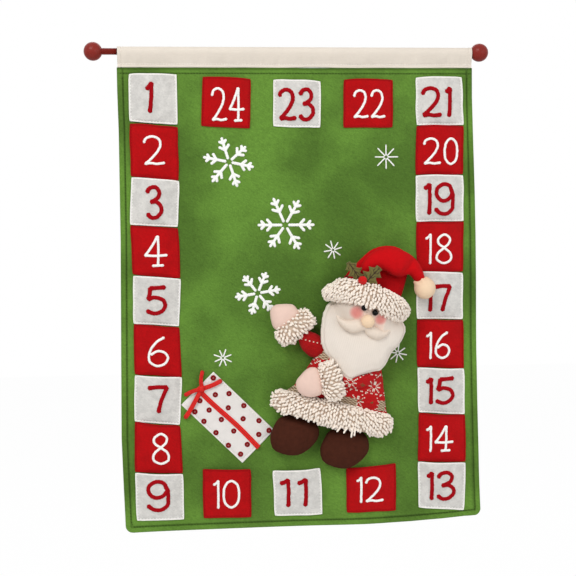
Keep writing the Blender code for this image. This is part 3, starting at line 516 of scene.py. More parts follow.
def cotton(name, colour):
    """Plain weave: two crossing sets of fine threads, a little uneven."""
    f = Finish(name, colour, 0.9, sheen_weight=0.1, specular_ior_level=0.25)
    p = f.place()
    x, y, z = f.xyz(p)
    across = (x * (2 * math.pi / 0.0011)).sine() * 0.5 + 0.5
    up = ((z + y) * (2 * math.pi / 0.0011)).sine() * 0.5 + 0.5
    slub = f.noise(f.mapped((0.004, 0.004, 0.0008)), 1.0, 2, 0.5)
    clouds = f.noise(p, 0.03, 2)
    # The threads' crossings are painted a little lighter, with painted shade between them; slubs and clouds are
    # the cloth's uneven tone.
    tone = 0.93 + across * up * 0.07 + (slub - 0.5) * 0.10 + (clouds - 0.5) * 0.10
    f.feed("Base Color", f.tint(f.colour, tone))
    f.relief(across * 0.35 + up * 0.35 + slub * 0.3, 0.00012)
    return f.material


def satin(name, colour):
    """Fine ribbed ribbon with a soft lustre."""
    f = Finish(name, colour, 0.42, specular_ior_level=0.22)
    u, v = f.uv()
    rib = (u * (2 * math.pi * 60)).sine() * 0.5 + 0.5
    edge = abs(v % 1.0 - 0.5).ease(0.34, 0.5)
    clouds = f.noise(f.place(), 0.006, 2)
    # Painted light on the ribs, and painted shade at the two edges where the arched ribbon turns away.
    f.feed("Base Color", f.tint(f.colour, 0.86 + rib * 0.18 + (clouds - 0.5) * 0.4 - edge * 0.3))
    f.relief(rib, 0.00008)
    return f.material


def knitted(name, colour, cream, brown, leaf, centre, lean, plain=False):
    """Stocking stitch in the coat's own axes: rows of small V stitches carry a traditional pattern.

    Each figure is drawn on whole stitches, so that its edges are stepped as in real knitting: an eight-pointed
    star is where the distances across and up are equal or nought, a zigzag where the height is a saw wave.
    """
    f = Finish(name, colour, 0.9, sheen_weight=0.05, sheen_roughness=0.5, specular_ior_level=0.12)
    p = f.mapped((1, 1, 1), (0, math.radians(lean), 0), centre)
    wide, high = 0.00175, 0.00155
    x, _, z = f.xyz(p)
    column, row = (x / wide).floor(), (z / high).floor()

    def band(low, high_row):
        return (row > low - 0.5) * (row < high_row + 0.5)

    def across(period, start=0):
        """Stitches from the middle of the nearest repeat."""
        return abs((column + start + 0.5) % float(period) - period / 2).floor()

    def star(middle, period, start, reach=4):
        side, up = across(period, start), abs(row - float(middle))
        arms = (abs(side - up) < 0.5).most((side < 0.5) * (up > 1.5)).most((up < 0.5) * (side > 1.5))
        return arms * (side.most(up) < reach + 0.5) * (side + up > 0.5)

    def zigzag(low, period, start=0):
        return (abs(row - low - across(period, start)) < 0.5) * (((column + row) % 3.0) > 0.5)

    def patch(low, high_row, left, right):
        return band(low, high_row) * (column > left - 0.5) * (column < right + 0.5)

    light = zigzag(-20, 12).most(zigzag(-5, 12, 6)).most(zigzag(10, 12)).most(zigzag(27, 12, 6))
    light = light.most(star(-11, 20, 4)).most(star(-26, 20, 14)).most(star(3, 20, 14)).most(star(20, 20, 4))
    for at in (-17, -1, 7, 24, 33):
        light = light.most(band(at, at) * (across(4, at % 2) < 0.5))
    leaves = (abs(row + 11.0) + across(20, 14) < 1.5).most(abs(row - 3.0) + across(20, 4) < 1.5)
    leaves = leaves.most(abs(row + 25.0) + across(9, 4) < 1.5)
    tweed = patch(2, 10, -33, -14).most(patch(-37, -27, -42, -16)).most(patch(-32, -25, -3, 15))
    tweed = tweed.most(patch(-30, -22, 33, 38))
    if plain:
        light, leaves, tweed = ((column % 3.0) < 0.5) * band(14, 14), leaves * 0.0, tweed * 0.0
    checks = ((((column / 2.0).floor() + row) % 2.0) < 0.5) * 0.85
    wear = f.noise(p, 0.004, 2)
    body = f.mix(light * (wear.ease(0.30, 0.46)), colour, cream)
    body = f.mix(leaves * (((column + row * 2.0) % 3.0) < 1.5) * 0.8, body, leaf)
    body = f.mix(tweed, body, f.mix(checks, (0.72, 0.57, 0.40), brown))
    slant = abs((x / wide) % 1.0 - 0.5)
    stitch = ((z / high + slant * 1.1) % 1.0) - 0.5
    bulge = (1.0 - stitch * stitch * 4.0) * (1.0 - slant.ease(0.36, 0.5) * 0.8)
    bulge = bulge * (0.35 + slant.ease(0.0, 0.12) * 0.65)
    fuzz = f.noise(p, 0.0009, 2, 0.6)
    # Painted light on each stitch's bulge and painted shade in the gaps between stitches.
    f.feed("Base Color", f.tint(body, 0.62 + bulge * 0.64 + (fuzz - 0.5) * 0.25))
    f.relief(bulge * 0.8 + fuzz * 0.2, 0.0006)
    return f.material


def face_and_beard(name, colour, shade, skin, blush, centre, lean, cheeks):
    """The beard's pile round the face: faint ribs that fan out, warmer near the face and darker there as
    painted shade under the brim, with a pale rolled rim.

    U of its UV map is the distance in from the rim, in centimetres. The face is a soft-edged patch between two
    straight seams, and each cheek's blush fades with the distance from its middle.
    """
    f = Finish(name, colour, 0.85, sheen_weight=0.06, sheen_roughness=0.5, specular_ior_level=0.12)
    p = f.mapped((1, 1, 1), (0, math.radians(lean), 0), centre)
    x, _, z = f.xyz(p)
    inward, _ = f.uv()
    fan = x / (1.0 - z * 3.0)
    rib = ((fan + (f.noise(p, 0.01, 2) - 0.5) * 0.0012) * (2 * math.pi / 0.0026)).sine() * 0.5 + 0.5
    nap = f.noise(p, 0.0008, 3, 0.7)
    clouds = f.noise(p, 0.02, 2)
    rim = 1.0 - inward.ease(0.16, 0.26)
    # Painted shade: towards the top, under the brim, the pile turns darker as well as warmer.
    body = f.mix((z + (clouds - 0.5) * 0.02).ease(0.004, 0.034), f.colour, shade)
    body = f.mix(rim * 0.6, body, (0.90, 0.84, 0.74))
    side = abs(x + 0.0005)
    face = (1.0 - side.ease(0.0195, 0.0215)) * z.ease(0.012, 0.016)
    body = f.mix(face, body, skin)
    px, _, pz = f.xyz(f.place())
    for cx, cz, wide, high in cheeks:
        dx, dz = (px - cx) / wide, (pz - cz) / high
        body = f.mix((1.0 - (dx * dx + dz * dz).ease(0.10, 1.5)) * 0.85, body, blush)
    # Painted shade in the sewn groove 3 mm in from the rim; the ribs' tops are painted a little lighter.
    groove = 1.0 - inward.ease(0.24, 0.30) + inward.ease(0.30, 0.40)
    f.feed("Base Color", f.tint(body, (0.955 + rib * 0.025 + nap * 0.04) * (0.92 + groove.least(1.0) * 0.08)))
    f.relief(rib * 0.45 + nap * 0.55, 0.00016)
    return f.material


def hat_felt(name, bright, painted_shade_colour):
    """The hat's fleece: painted light on the roll, painted shade below its crease, with soft worn patches."""
    f = Finish(name, bright, 0.92, sheen_weight=0.02, specular_ior_level=0.08)
    p = f.place()
    x, y, z = f.xyz(p)
    patches, fibres = f.noise(p, 0.006, 3, 0.55), f.noise(p, 0.0010, 3, 0.7, 0.5)
    # Painted light and shade: the forward roll and the part above the crease take the hat's colour, the rest
    # the darker shade colour.
    front = (0.0 - y).ease(0.030, 0.040)
    high = (z + (x - 0.12) * 0.25).ease(-0.300, -0.278)
    body = f.mix((front * 0.3 + high).least(1.0), painted_shade_colour, bright)
    f.feed("Base Color", f.tint(body, 1.0 + (patches - 0.5) * 0.22 + (fibres - 0.5) * 0.16))
    f.relief(fibres * 0.7 + patches * 0.3, 0.0003)
    return f.material


def bead(name, colour):
    f = Finish(name, colour, 0.18, specular_ior_level=0.12)
    return f.material


def leaf_cloth(name, colour, vein):
    """Leaf felt whose UV runs from stem to tip: a dark middle vein and slanting side veins."""
    f = Finish(name, colour, 0.8, sheen_weight=0.2, specular_ior_level=0.25)
    u, v = f.uv()
    side = abs(v - 0.5)
    middle = 1.0 - side.ease(0.02, 0.07)
    slanting = ((u * 5.0 - side * 3.0) * (2 * math.pi)).sine().ease(0.62, 0.95) * (1.0 - side.ease(0.26, 0.44))
    nap = f.noise(f.place(), 0.0012, 3, 0.7)
    body = f.mix(middle.most(slanting * 0.9), f.colour, vein)
    f.feed("Base Color", f.tint(body, 0.8 + nap * 0.4))
    f.relief(nap, 0.0002)
    return f.material


def dot_thread(name, colour, middle):
    """Round satin-stitched dots: threads out from a middle with a painted highlight. U is the angle, V the
    distance out.
    """
    f = Finish(name, colour, 0.7, specular_ior_level=0.08)
    u, v = f.uv()
    ray = (u * (2 * math.pi * 18)).sine() * 0.5 + 0.5
    # Painted highlight: the lighter middle colour at the dome's top; painted shade between the threads.
    f.feed("Base Color", f.tint(f.mix(v.ease(0.12, 0.50), middle, f.colour), 0.78 + ray * 0.26))
    f.relief(ray, 0.0003)
    return f.material


# Sizes and colours a user would change

def colour_of(name, value, words):
    return FloatVectorProperty(name=name, description=words, default=value, size=3, min=0, max=1,
                               subtype="COLOR")


def size_of(name, value, words, low=0.0, high=0.1):
    return FloatProperty(name=name, description=words, default=value, min=low, max=high, unit="LENGTH",
                         precision=4)


class CalendarCloth(PropertyGroup):
    rod: colour_of("Rod", (0.235, 0.021, 0.014), "Lacquer of the rod and its balls")
    sleeve: colour_of("Sleeve", (0.82, 0.74, 0.645), "Cotton over the rod")
    banner: colour_of("Banner", (0.100, 0.208, 0.029), "Felt of the banner and its lining")
    white: colour_of("White felt", (0.71, 0.69, 0.655), "Light pockets")
    red: colour_of("Red felt", (0.48, 0.002, 0.004), "Red pockets")
    gift: colour_of("Gift", (0.81, 0.77, 0.735), "Cloth of the gift")
    ribbon: colour_of("Ribbon", (0.74, 0.014, 0.010), "Ribbon and bow of the gift")
    light_thread: colour_of("Light thread", (1.0, 1.0, 0.97), "Numbers on red, snowflakes")
    dark_thread: colour_of("Red thread", (0.56, 0.005, 0.012), "Numbers on white")
    hem_depth: size_of("Hem", 0.0075, "From the banner's edge to its line of stitches")
    seam_inset: size_of("Pocket seam", 0.0026, "From a pocket's edge to its line of stitches")
    stitch_pitch: size_of("Stitch pitch", 0.0040, "One running stitch and the space after it")
    number_width: size_of("Number stroke", 0.0056, "Width of the red numbers' strokes")
    slim_width: size_of("Light number stroke", 0.0034, "Width of the light numbers' strokes")


class CalendarFigure(PropertyGroup):
    coat: colour_of("Coat", (0.60, 0.008, 0.010), "Ground colour of the knitted coat")
    hat: colour_of("Hat", (0.57, 0.004, 0.007), "Fleece of the hat")
    beard: colour_of("Beard", (0.80, 0.72, 0.64), "Pile of the beard")
    face: colour_of("Face", (0.88, 0.70, 0.60), "Fleece of the face")
    moustache: colour_of("Moustache", (0.82, 0.70, 0.59), "Pile of the moustache")
    nose: colour_of("Nose", (0.90, 0.67, 0.46), "Fleece of the nose and the bobble")
    mitten: colour_of("Mittens", (0.83, 0.60, 0.51), "Fleece of the mittens")
    loops: colour_of("Loops", (0.97, 0.87, 0.77), "Looped trim, brim and cuffs")
    # Painted shade: the backing is darker than the loops to stand in for the shade between them.
    ground: colour_of("Loop ground", (0.60, 0.47, 0.37), "Backing between the loops")
    boots: colour_of("Boots", (0.060, 0.0155, 0.0075), "Plush of the boots")
    leaf: colour_of("Leaves", (0.14, 0.125, 0.030), "Holly leaves")
    loop_length: size_of("Loop length", 0.0062, "From a loop's foot to its tip")
    loop_width: size_of("Loop width", 0.0036, "Thickness of one loop")
    filling: size_of("Filling", 0.0030, "How far the filling may push the cloth out")


def cloth():
    return bpy.context.scene.calendar_cloth


def figure():
    return bpy.context.scene.calendar_figure


COAT_CENTRE = (0.06387, 0.0, -0.41380)
BEARD_CENTRE = (0.09101, 0.0, -0.37427)
BOBBLE = (0.17435, -0.022, -0.3126)
# Middle of each cheek's blush, and its half width and height
CHEEKS = ((0.0790, -0.3412, 0.0088, 0.0088), (0.1105, -0.3510, 0.0080, 0.0072))

def toned(colour, level):
    """A colour made lighter or darker by one factor."""
    return [c * level for c in colour]


# Each finish: the record's slot that it stands for, and how it is made
FINISHES = {
    "rod_lacquer": ("varnished_red", lambda n: lacquer(n, cloth().rod)),
    "casing_cotton": ("cream_cotton", lambda n: cotton(n, cloth().sleeve)),
    # The banner's broad clouds are partly the felt's uneven tone and partly painted light and shade of soft
    # folds.
    "banner_felt": ("green_felt", lambda n: felt(
        n, toned(cloth().banner, 1.27), toned(cloth().banner, 0.75), 0.120, 0.42, 0.0004, soft=0.30,
        grain=0.0022, sewn=cloth().hem_depth)),
    # The hem's thread is darker than the banner partly as painted shade of the groove that it lies in.
    "banner_stitch": ("green_felt", lambda n: thread(n, toned(cloth().banner, 0.42), 3)),
    "light_felt": ("white_felt", lambda n: felt(
        n, cloth().white, toned(cloth().white, 0.84), 0.009, 0.20, 0.0004,
        (0.034, toned(cloth().white, 1.26)), 0.45, 0.0020)),
    "dark_felt": ("red_felt", lambda n: felt(
        n, cloth().red, toned(cloth().red, 0.86), 0.014, 0.26, 0.0004,
        (0.050, toned(cloth().red, 0.70)), 0.5, 0.0018)),
    "light_cut_edge": ("white_felt", lambda n: felt(n, toned(cloth().white, 1.16), toned(cloth().white, 1.08))),
    "dark_cut_edge": ("red_felt", lambda n: felt(n, toned(cloth().red, 0.7), toned(cloth().red, 0.6))),
    "light_thread": ("white_felt", lambda n: thread(n, cloth().light_thread, depth=0.0001, shade=0.04)),
    "dark_thread": ("red_felt", lambda n: thread(n, cloth().dark_thread)),
    "gift_cloth": ("white_felt", lambda n: felt(
        n, cloth().gift, toned(cloth().gift, 0.93), 0.012, 0.05, 0.0003, (0.04, toned(cloth().gift, 1.06)))),
    "gift_satin": ("red_satin", lambda n: satin(n, cloth().ribbon)),
    # The second colour is the dots' painted highlight.
    "gift_dot": ("red_satin", lambda n: dot_thread(n, (0.30, 0.003, 0.008), (0.55, 0.20, 0.18))),
    "coat_knit": ("red_knit", lambda n: knitted(
        n, figure().coat, (0.92, 0.82, 0.70), (0.20, 0.105, 0.05), (0.10, 0.13, 0.04), COAT_CENTRE, DOLL_LEAN)),
    "sleeve_knit": ("red_knit", lambda n: knitted(
        n, toned(figure().coat, 0.8), (0.88, 0.76, 0.62), (0.30, 0.17, 0.09), (0.10, 0.13, 0.04), COAT_CENTRE,
        DOLL_LEAN, True)),
    # The hat's painted shade colour is 0.66 of its own colour.
    "hat_fleece": ("red_felt", lambda n: hat_felt(n, figure().hat, toned(figure().hat, 0.66))),
    # The beard's third colour is darker and warmer: partly painted shade under the brim.
    "beard_pile": ("white_fleece", lambda n: face_and_beard(
        n, figure().beard, toned((0.80, 0.69, 0.595), 0.88), figure().face, (0.72, 0.20, 0.18), BEARD_CENTRE,
        DOLL_LEAN, CHEEKS)),
    "moustache_pile": ("white_fleece", lambda n: plush(n, figure().moustache, 0.05, 0.005, 0.0009, 0.0003)),
    "peach_fleece": ("skin_fleece", lambda n: plush(n, figure().nose, 0.05, 0.005, 0.0009, 0.0002)),
    "mitten_fleece": ("skin_fleece", lambda n: plush(n, figure().mitten, 0.06, 0.006, 0.0009, 0.0003)),
    "loop_yarn": ("loop_pile", lambda n: plush(n, figure().loops, 0.06, 0.010, 0.0007, 0.0002, 0.03)),
    # The loops' backing, darker as painted shade between the loops.
    "loop_backing_painted_shade": ("loop_pile", lambda n: plush(n, figure().ground, 0.25, 0.003, 0.0009, 0.0005, 0.02)),
    "boot_plush": ("brown_plush", lambda n: plush(n, figure().boots, 0.30, 0.006, 0.0016, 0.0003, 0.0)),
    "bead_gloss": ("black_bead", lambda n: bead(n, (0.004, 0.004, 0.004))),
    "holly_leaf": ("leaf_cloth", lambda n: leaf_cloth(n, figure().leaf, (0.030, 0.012, 0.006))),
    "berry_felt": ("red_satin", lambda n: plush(n, (0.60, 0.012, 0.012), 0.06, 0.003, 0.0008, 0.0002)),
    # A smaller berry in a darker red.
    "dark_berry_felt": ("red_satin", lambda n: plush(n, (0.16, 0.008, 0.006), 0.2, 0.002, 0.0008, 0.0002)),
}


def finish(name):
    """The named material, made the first time that it is asked for."""
    return bpy.data.materials.get(name) or FINISHES[name][1](name)


# Rod, sleeve and cloths

def lathe(profile, sides=72):
    """A profile of (place along X, radius) turned about the X axis. It starts and ends on the axis."""
    profile = np.asarray(profile, float)
    turn = np.arange(sides) * 2 * math.pi / sides
    ring = np.stack([0 * turn, np.cos(turn), np.sin(turn)], axis=-1)
    axis = np.array([1.0, 0.0, 0.0])
    rings = profile[1:-1, None, 1:] * ring + profile[1:-1, :1, None] * axis
    return closed_tube(rings, profile[[0, -1], :1] * axis)


def make_dowel():
    """The dowel, slim along its length, with a rounded lip at each end that the balls hide."""
    _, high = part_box("rod_dowel")
    reach, r = high.x, high.z
    ease = np.linspace(0, math.pi / 2, 7)
    lip = np.stack([reach - 0.0008 * (1 - np.sin(ease)), r - 0.0008 * (1 - np.cos(ease))], axis=1)
    points, faces = lathe(np.concatenate([[[-reach, 0]], lip * [-1, 1], lip[::-1], [[reach, 0]]]), 48)
    made = make_mesh("dowel", points, faces, finish("rod_lacquer"))
    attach(made, "rod")
    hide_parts("rod_dowel")


def make_balls():
    """A ball on each end of the dowel, whose drilled face has a chamfered hole."""
    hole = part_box("rod_dowel")[1].z + 0.0002
    for node, side in (("ball_left", -1), ("ball_right", 1)):
        low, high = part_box(node)
        radius = (high.z - low.z) / 2
        outer, inner = (high.x, low.x) if side > 0 else (low.x, high.x)
        centre = outer - side * radius
        flat = abs(inner - centre)
        rim = math.sqrt(radius**2 - flat**2)
        arc = np.linspace(math.atan2(rim, -flat) - 0.03, 0, 40)[:-1]
        half = np.stack([radius * np.cos(arc), radius * np.sin(arc)], axis=1)
        drilled = [[-flat + 0.0105, 0], [-flat + 0.0105, hole], [-flat + 0.0005, hole],
                   [-flat, hole + 0.0004], [-flat, rim - 0.0003]]
        points, faces = lathe(np.concatenate([drilled, half, [[radius, 0]]]))
        points = points * [side, side, 1] + [centre, 0, 0]
        made = make_mesh(node.replace("ball", "end_ball"), points, faces, finish("rod_lacquer"))
        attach(made, "rod")
        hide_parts(node)


# Half of the sleeve's section outside and inside, in millimetres forward and up
SLEEVE_OUTLINE = [(-1.30, -20.4), (-1.45, -18.0), (-1.60, -15.5), (-3.1, -11.5), (-5.2, -5.5), (-6.2, -1.0),
                  (-5.7, 2.6), (-3.4, 5.3), (0, 6.25)]
SLEEVE_LINING = [(-0.20, -15.0), (-0.8, -13.4), (-1.6, -12.0), (-2.9, -9.0), (-4.5, -5.0), (-5.4, -0.8),
                 (-4.9, 2.3), (-2.9, 4.6), (0, 5.42)]


def mirrored(outline):
    half = np.array(outline) * 0.001
    return np.concatenate([half, (half * [-1, 1])[-2::-1]])


def make_sleeve():
    """A teardrop tube: its outline is carried along X, gathered in small puckers above the bottom seam.

    Puckers are waves along X that grow towards the seam. Each end is folded back in a hem with a sewn groove.
    """
    low, high = SLEEVE_LOW.x, SLEEVE_HIGH.x
    x = np.unique(np.concatenate([np.linspace(low, low + 0.008, 12),
                                  np.linspace(low + 0.008, high - 0.008, 260),
                                  np.linspace(high - 0.008, high, 12)]))
    outer = even_curve(mirrored(SLEEVE_OUTLINE), 56, True)
    inner = even_curve(mirrored(SLEEVE_LINING), 56, True)
    grid_x = x[:, None] + 0 * outer[None, :, 0]
    end = np.minimum(grid_x - low, high - grid_x)
    hem = 0.00025 * (end < 0.005) - 0.0005 * np.exp(-((end - 0.0052) / 0.0005) ** 2)
    y, z = outer[None, :, 0] + 0 * grid_x, outer[None, :, 1] + 0 * grid_x
    z = z + 0.0007 * waves(grid_x, 0 * grid_x, 14, 0.070) * np.clip(-z / 0.018, 0, 1) ** 2
    low_down = np.clip((0.001 - z) / 0.015, 0, 1) * np.clip((z + 0.0205) / 0.003, 0.25, 1)
    side = np.sign(y)
    pucker = 0.00042 * waves(grid_x, 0.25 * z + 0.01 * side, 11, 0.009) * low_down
    pucker += 0.0003 * waves(grid_x, 0.3 * z, 12, 0.035) * low_down
    seam = -0.0007 * np.exp(-((z + 0.0163) / 0.0006) ** 2) * (np.abs(y) > 0.0006)
    normal = unit(np.stack([np.roll(outer, 1, 0)[:, 1] - np.roll(outer, -1, 0)[:, 1],
                            np.roll(outer, -1, 0)[:, 0] - np.roll(outer, 1, 0)[:, 0]], axis=1))
    normal *= np.sign((normal * (outer - [0, -0.007])).sum(axis=1, keepdims=True))
    push = pucker + hem + seam
    outside = np.stack([grid_x, y + push * normal[None, :, 0], z + push * normal[None, :, 1]], axis=-1)
    inside = np.stack([grid_x, inner[None, :, 0] + 0 * y, inner[None, :, 1] + 0 * z], axis=-1)
    rows, columns = grid_x.shape
    n, k = rows * columns, np.arange(columns)
    m = (k + 1) % columns
    last = (rows - 1) * columns
    rims = np.concatenate([np.stack([k, m, m + n, k + n], axis=1),
                           np.stack([last + m, last + k, last + k + n, last + m + n], axis=1)])
    skin = cells(rows, columns, True)
    points = np.concatenate([outside.reshape(-1, 3), inside.reshape(-1, 3)])
    made = make_mesh("rod_casing", points, [skin, (skin + n)[:, ::-1], rims], finish("casing_cotton"))
    outward(made)
    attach(made, "sleeve")
    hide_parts("rod_sleeve")
    line = np.linspace((low + 0.003, -0.00195, -0.0163), (high - 0.003, -0.00195, -0.0163), 600)
    made = make_mesh("casing_stitches", *stitches(line, 0.0034, 0.62, 0.00028), finish("light_thread"))
    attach(made, "sleeve")


def outward(obj):
    """Turns a closed mesh's faces round if they point inwards, which its signed volume shows."""
    mesh = obj.data
    shape = bmesh.new()
    shape.from_mesh(mesh)
    if shape.calc_volume(signed=True) < 0:
        bmesh.ops.reverse_faces(shape, faces=shape.faces)
        shape.to_mesh(mesh)
        mesh.update()
    shape.free()
    return obj


def spread(low, high, step, fine, reach):
    """Grid lines from low to high: fine steps within reach of both ends, plain steps between."""
    near = np.linspace(0, reach, int(reach / fine) + 1)
    middle = np.linspace(low + reach, high - reach, int((high - low - 2 * reach) / step) + 1)
    return np.concatenate([low + near[:-1], middle, high - near[-2::-1]])


def flared(x, z):
    """Points of the banner's plane with its outer strip moved: the cloth is cut a little wider to its foot."""
    right = np.interp(-z, [0.060, 0.104, 0.144, 0.190, 0.244, 0.400, 0.504, 0.564, 0.620],
                      [0.0, 0.0012, 0.0024, 0.0036, 0.0048, 0.0053, 0.0070, 0.0080, 0.0096])
    left = np.interp(-z, [0.050, 0.104, 0.244, 0.304, 0.424, 0.504, 0.564, 0.620],
                     [0.0, 0.0009, 0.0005, -0.0004, -0.0022, -0.0034, -0.0020, -0.0004])
    foot = np.interp(x, [-0.2, -0.05, 0.10, 0.16, 0.20, 0.235],
                     [-0.0026, -0.0022, -0.0026, -0.0018, 0.0002, 0.0032])
    on_right = np.clip((x - BANNER_HIGH.x + 0.0130) / 0.0050, 0, 1)
    on_left = np.clip((BANNER_LOW.x + 0.0130 - x) / 0.0050, 0, 1)
    on_foot = np.clip((BANNER_LOW.z + 0.0130 - z) / 0.0050, 0, 1)
    return x + right * on_right + left * on_left, z + foot * on_foot


def cloth_skins(low, high, corner):
    """Two skins of a hemmed cloth with rounded foot corners.

    The thickness falls to nothing over a round edge. The hem stands a little proud as far as its sewn groove.
    Near the foot the rows narrow by the corner's radius less the circle's height.
    """
    x, z = spread(low.x, high.x, 0.0046, 0.0008, 0.0112), spread(low.z, high.z, 0.0046, 0.0008, 0.0112)
    grid_x, grid_z = np.meshgrid(x, z)
    up = grid_z - low.z
    drop = np.clip(corner - up, 0, corner)
    inset = corner - np.sqrt(np.maximum(corner**2 - drop**2, 0))
    share = (grid_x - low.x) / (high.x - low.x)
    grid_x = grid_x + inset * (1 - 2 * share)
    side = np.minimum(np.minimum(share, 1 - share) * (high.x - low.x), up)
    roll = rounded(np.minimum(side, (high.z - grid_z) + 0.0006), 0.0010)
    hem = cloth().hem_depth
    raised = 0.00022 / (1 + np.exp(np.clip((side - hem) / 0.0002, -30, 30)))
    groove = 0.0010 * np.exp(-((side - hem) / 0.0009) ** 2)
    groove += 0.0005 * np.exp(-((high.z - 0.0075 - grid_z) / 0.0007) ** 2)
    wavy = 0.00010 * waves(grid_x, grid_z, 21, 0.022)
    uv = np.stack([side, high.z - grid_z], axis=-1) * 100
    grid_x, grid_z = flared(grid_x, grid_z)
    return grid_x, grid_z, roll, raised - groove + wavy, uv


def make_banner():
    """The front felt and its lining, hung in the same broad folds, sewn together round the edge."""
    for name, node, low, high, out in (("front_felt", "front_cloth", BANNER_LOW, BANNER_HIGH, -1),
                                       ("lining_felt", "back_lining", LINING_LOW, LINING_HIGH, 1)):
        grid_x, grid_z, roll, relief, uv = cloth_skins(low, high, 0.010)
        middle, half = (low.y + high.y) / 2, (high.y - low.y) / 2
        outer = middle + out * (half * roll + relief * roll)
        inner = middle - out * half * roll
        front, back = (outer, inner) if out < 0 else (inner, outer)
        skins = [np.stack([grid_x, y, grid_z], axis=-1) for y in (front, back)]
        points, faces, uv, _ = shell(*skins, uv)
        made = outward(make_mesh(name, hang(points), faces, finish("banner_felt"), uv))
        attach(made, "banner")
        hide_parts(node)
    low, high, hem = BANNER_LOW, BANNER_HIGH, cloth().hem_depth
    parts = []
    for out, face in ((-1, low.y + 0.0004), (1, LINING_HIGH.y - 0.0004)):
        corner = np.array([[low.x + hem, high.z - 0.012], [low.x + hem, low.z + hem + 0.004],
                           [low.x + hem + 0.004, low.z + hem], [high.x - hem - 0.004, low.z + hem],
                           [high.x - hem, low.z + hem + 0.004], [high.x - hem, high.z - 0.012]])
        top = np.array([[low.x + 0.003, high.z - 0.0075], [high.x - 0.003, high.z - 0.0075]])
        for route in (corner, top):
            line = even_curve_of(route, 2400)
            x, z = flared(line[:, 0], line[:, 1])
            line = hang(np.stack([x, np.full(len(x), face), z], axis=1))
            parts.append(stitches(line, 0.0038, 0.66, 0.00050, FRONTWARD * -out))
    points, faces = join(parts)
    made = make_mesh("hem_stitches", points, faces, finish("banner_stitch"))
    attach(made, "banner")


# Pockets and their numbers

SEWN_TURN = {24: -2.5, 23: -1.0, 10: -0.8, 11: 1.2, 12: 1.5}  # degrees
# Millimetres across and up from the even places, because each pocket is sewn on by hand
SEWN_SHIFT = {
    1: (1.1, -0.3), 2: (1.4, -2.3), 3: (0.5, -3.2), 4: (0.5, -2.1), 5: (0.8, -1.9), 6: (0.7, -2.3),
    7: (0.1, -2.4), 8: (-0.8, -2.1), 9: (0.4, -1.9), 10: (-0.4, -1.7), 11: (0.4, -0.4), 12: (-1.6, -0.2),
    13: (0.7, -0.1), 14: (1.5, 0.3), 15: (0.8, -0.5), 16: (-0.3, -1.4), 17: (-0.3, -1.5), 18: (0.0, -0.8),
    19: (0.0, -0.9), 20: (0.1, -1.9), 21: (0.0, -2.0), 22: (0.1, -5.1), 23: (-0.8, -2.2), 24: (-0.3, -2.6),
}
# How far each corner is pulled besides, in millimetres across and up: left foot and top, right foot and top
SEWN_CORNERS = {
    1: (((1.0, 2.6), (1.3, -0.3)), ((-1.0, -1.7), (-1.1, -0.8))),
    2: (((1.4, 0.4), (0.7, 4.6)), ((-0.8, -5.3), (-1.3, 0.3))),
    3: (((-0.2, 3.6), (2.3, 1.3)), ((-2.2, -0.5), (0.1, -4.4))),
    4: (((2.1, 2.5), (-0.2, 2.5)), ((0.1, -3.3), (-2.2, -1.6))),
    5: (((1.5, 3.3), (1.8, 2.3)), ((-3.2, -2.0), (-0.2, -3.5))),
    6: (((2.0, 1.5), (1.6, 3.7)), ((-0.4, -3.4), (-3.1, -1.6))),
    7: (((0.9, 4.4), (2.6, 1.6)), ((-3.8, -2.7), (0.2, -3.3))),
    8: (((1.1, 1.5), (1.8, 4.1)), ((0.0, -2.7), (-2.9, -3.0))),
    9: (((1.6, 1.2), (-0.1, 1.3)), ((-0.2, 0.3), (-1.2, -2.9))),
    10: (((0.4, -0.5), (-0.2, 1.4)), ((0.0, -1.0), (-0.4, -0.1))),
    11: (((0.5, 1.8), (-0.7, -1.1)), ((0.6, 0.3), (-0.6, -1.0))),
    12: (((-2.1, 1.4), (-1.1, -1.9)), ((1.1, -0.1), (2.3, 0.7))),
    13: (((0.3, 2.6), (-0.5, 1.6)), ((-1.4, -2.7), (1.5, -1.7))),
    14: (((-1.3, 1.2), (0.4, 2.9)), ((0.7, -2.1), (0.3, -2.0))),
    15: (((1.1, 3.7), (-1.4, 0.5)), ((1.0, -1.2), (-0.6, -3.0))),
    16: (((-0.3, 1.4), (0.0, 1.1)), ((0.5, -2.1), (-0.2, -0.5))),
    17: (((0.0, 1.2), (0.5, 0.8)), ((-0.2, -0.4), (-0.5, -1.6))),
    18: (((0.2, 0.1), (-0.1, 1.1)), ((-0.8, -2.3), (0.8, 1.1))),
    19: (((-0.1, 1.2), (-0.7, -1.2)), ((0.8, 1.2), (0.0, -1.4))),
    20: (((-0.8, -0.2), (0.5, 0.5)), ((-0.1, -0.4), (0.5, 0.1))),
    21: (((0.6, 0.6), (0.3, -0.5)), ((0.6, 0.2), (-1.3, -0.3))),
    22: (((-1.3, 0.4), (-0.4, -0.2)), ((0.7, 0.5), (1.2, -0.6))),
    23: (((0.7, 2.0), (1.0, -1.0)), ((-1.1, 1.1), (-0.7, -2.1))),
    24: (((0.5, 0.4), (0.3, 0.3)), ((0.2, -0.6), (-1.0, -0.1))),
}
POCKET_CLOTH = 0.0012
POCKET_BULGE = 0.0066
POCKET_SEAM = 0.0032  # the flat strip along the sewn edges


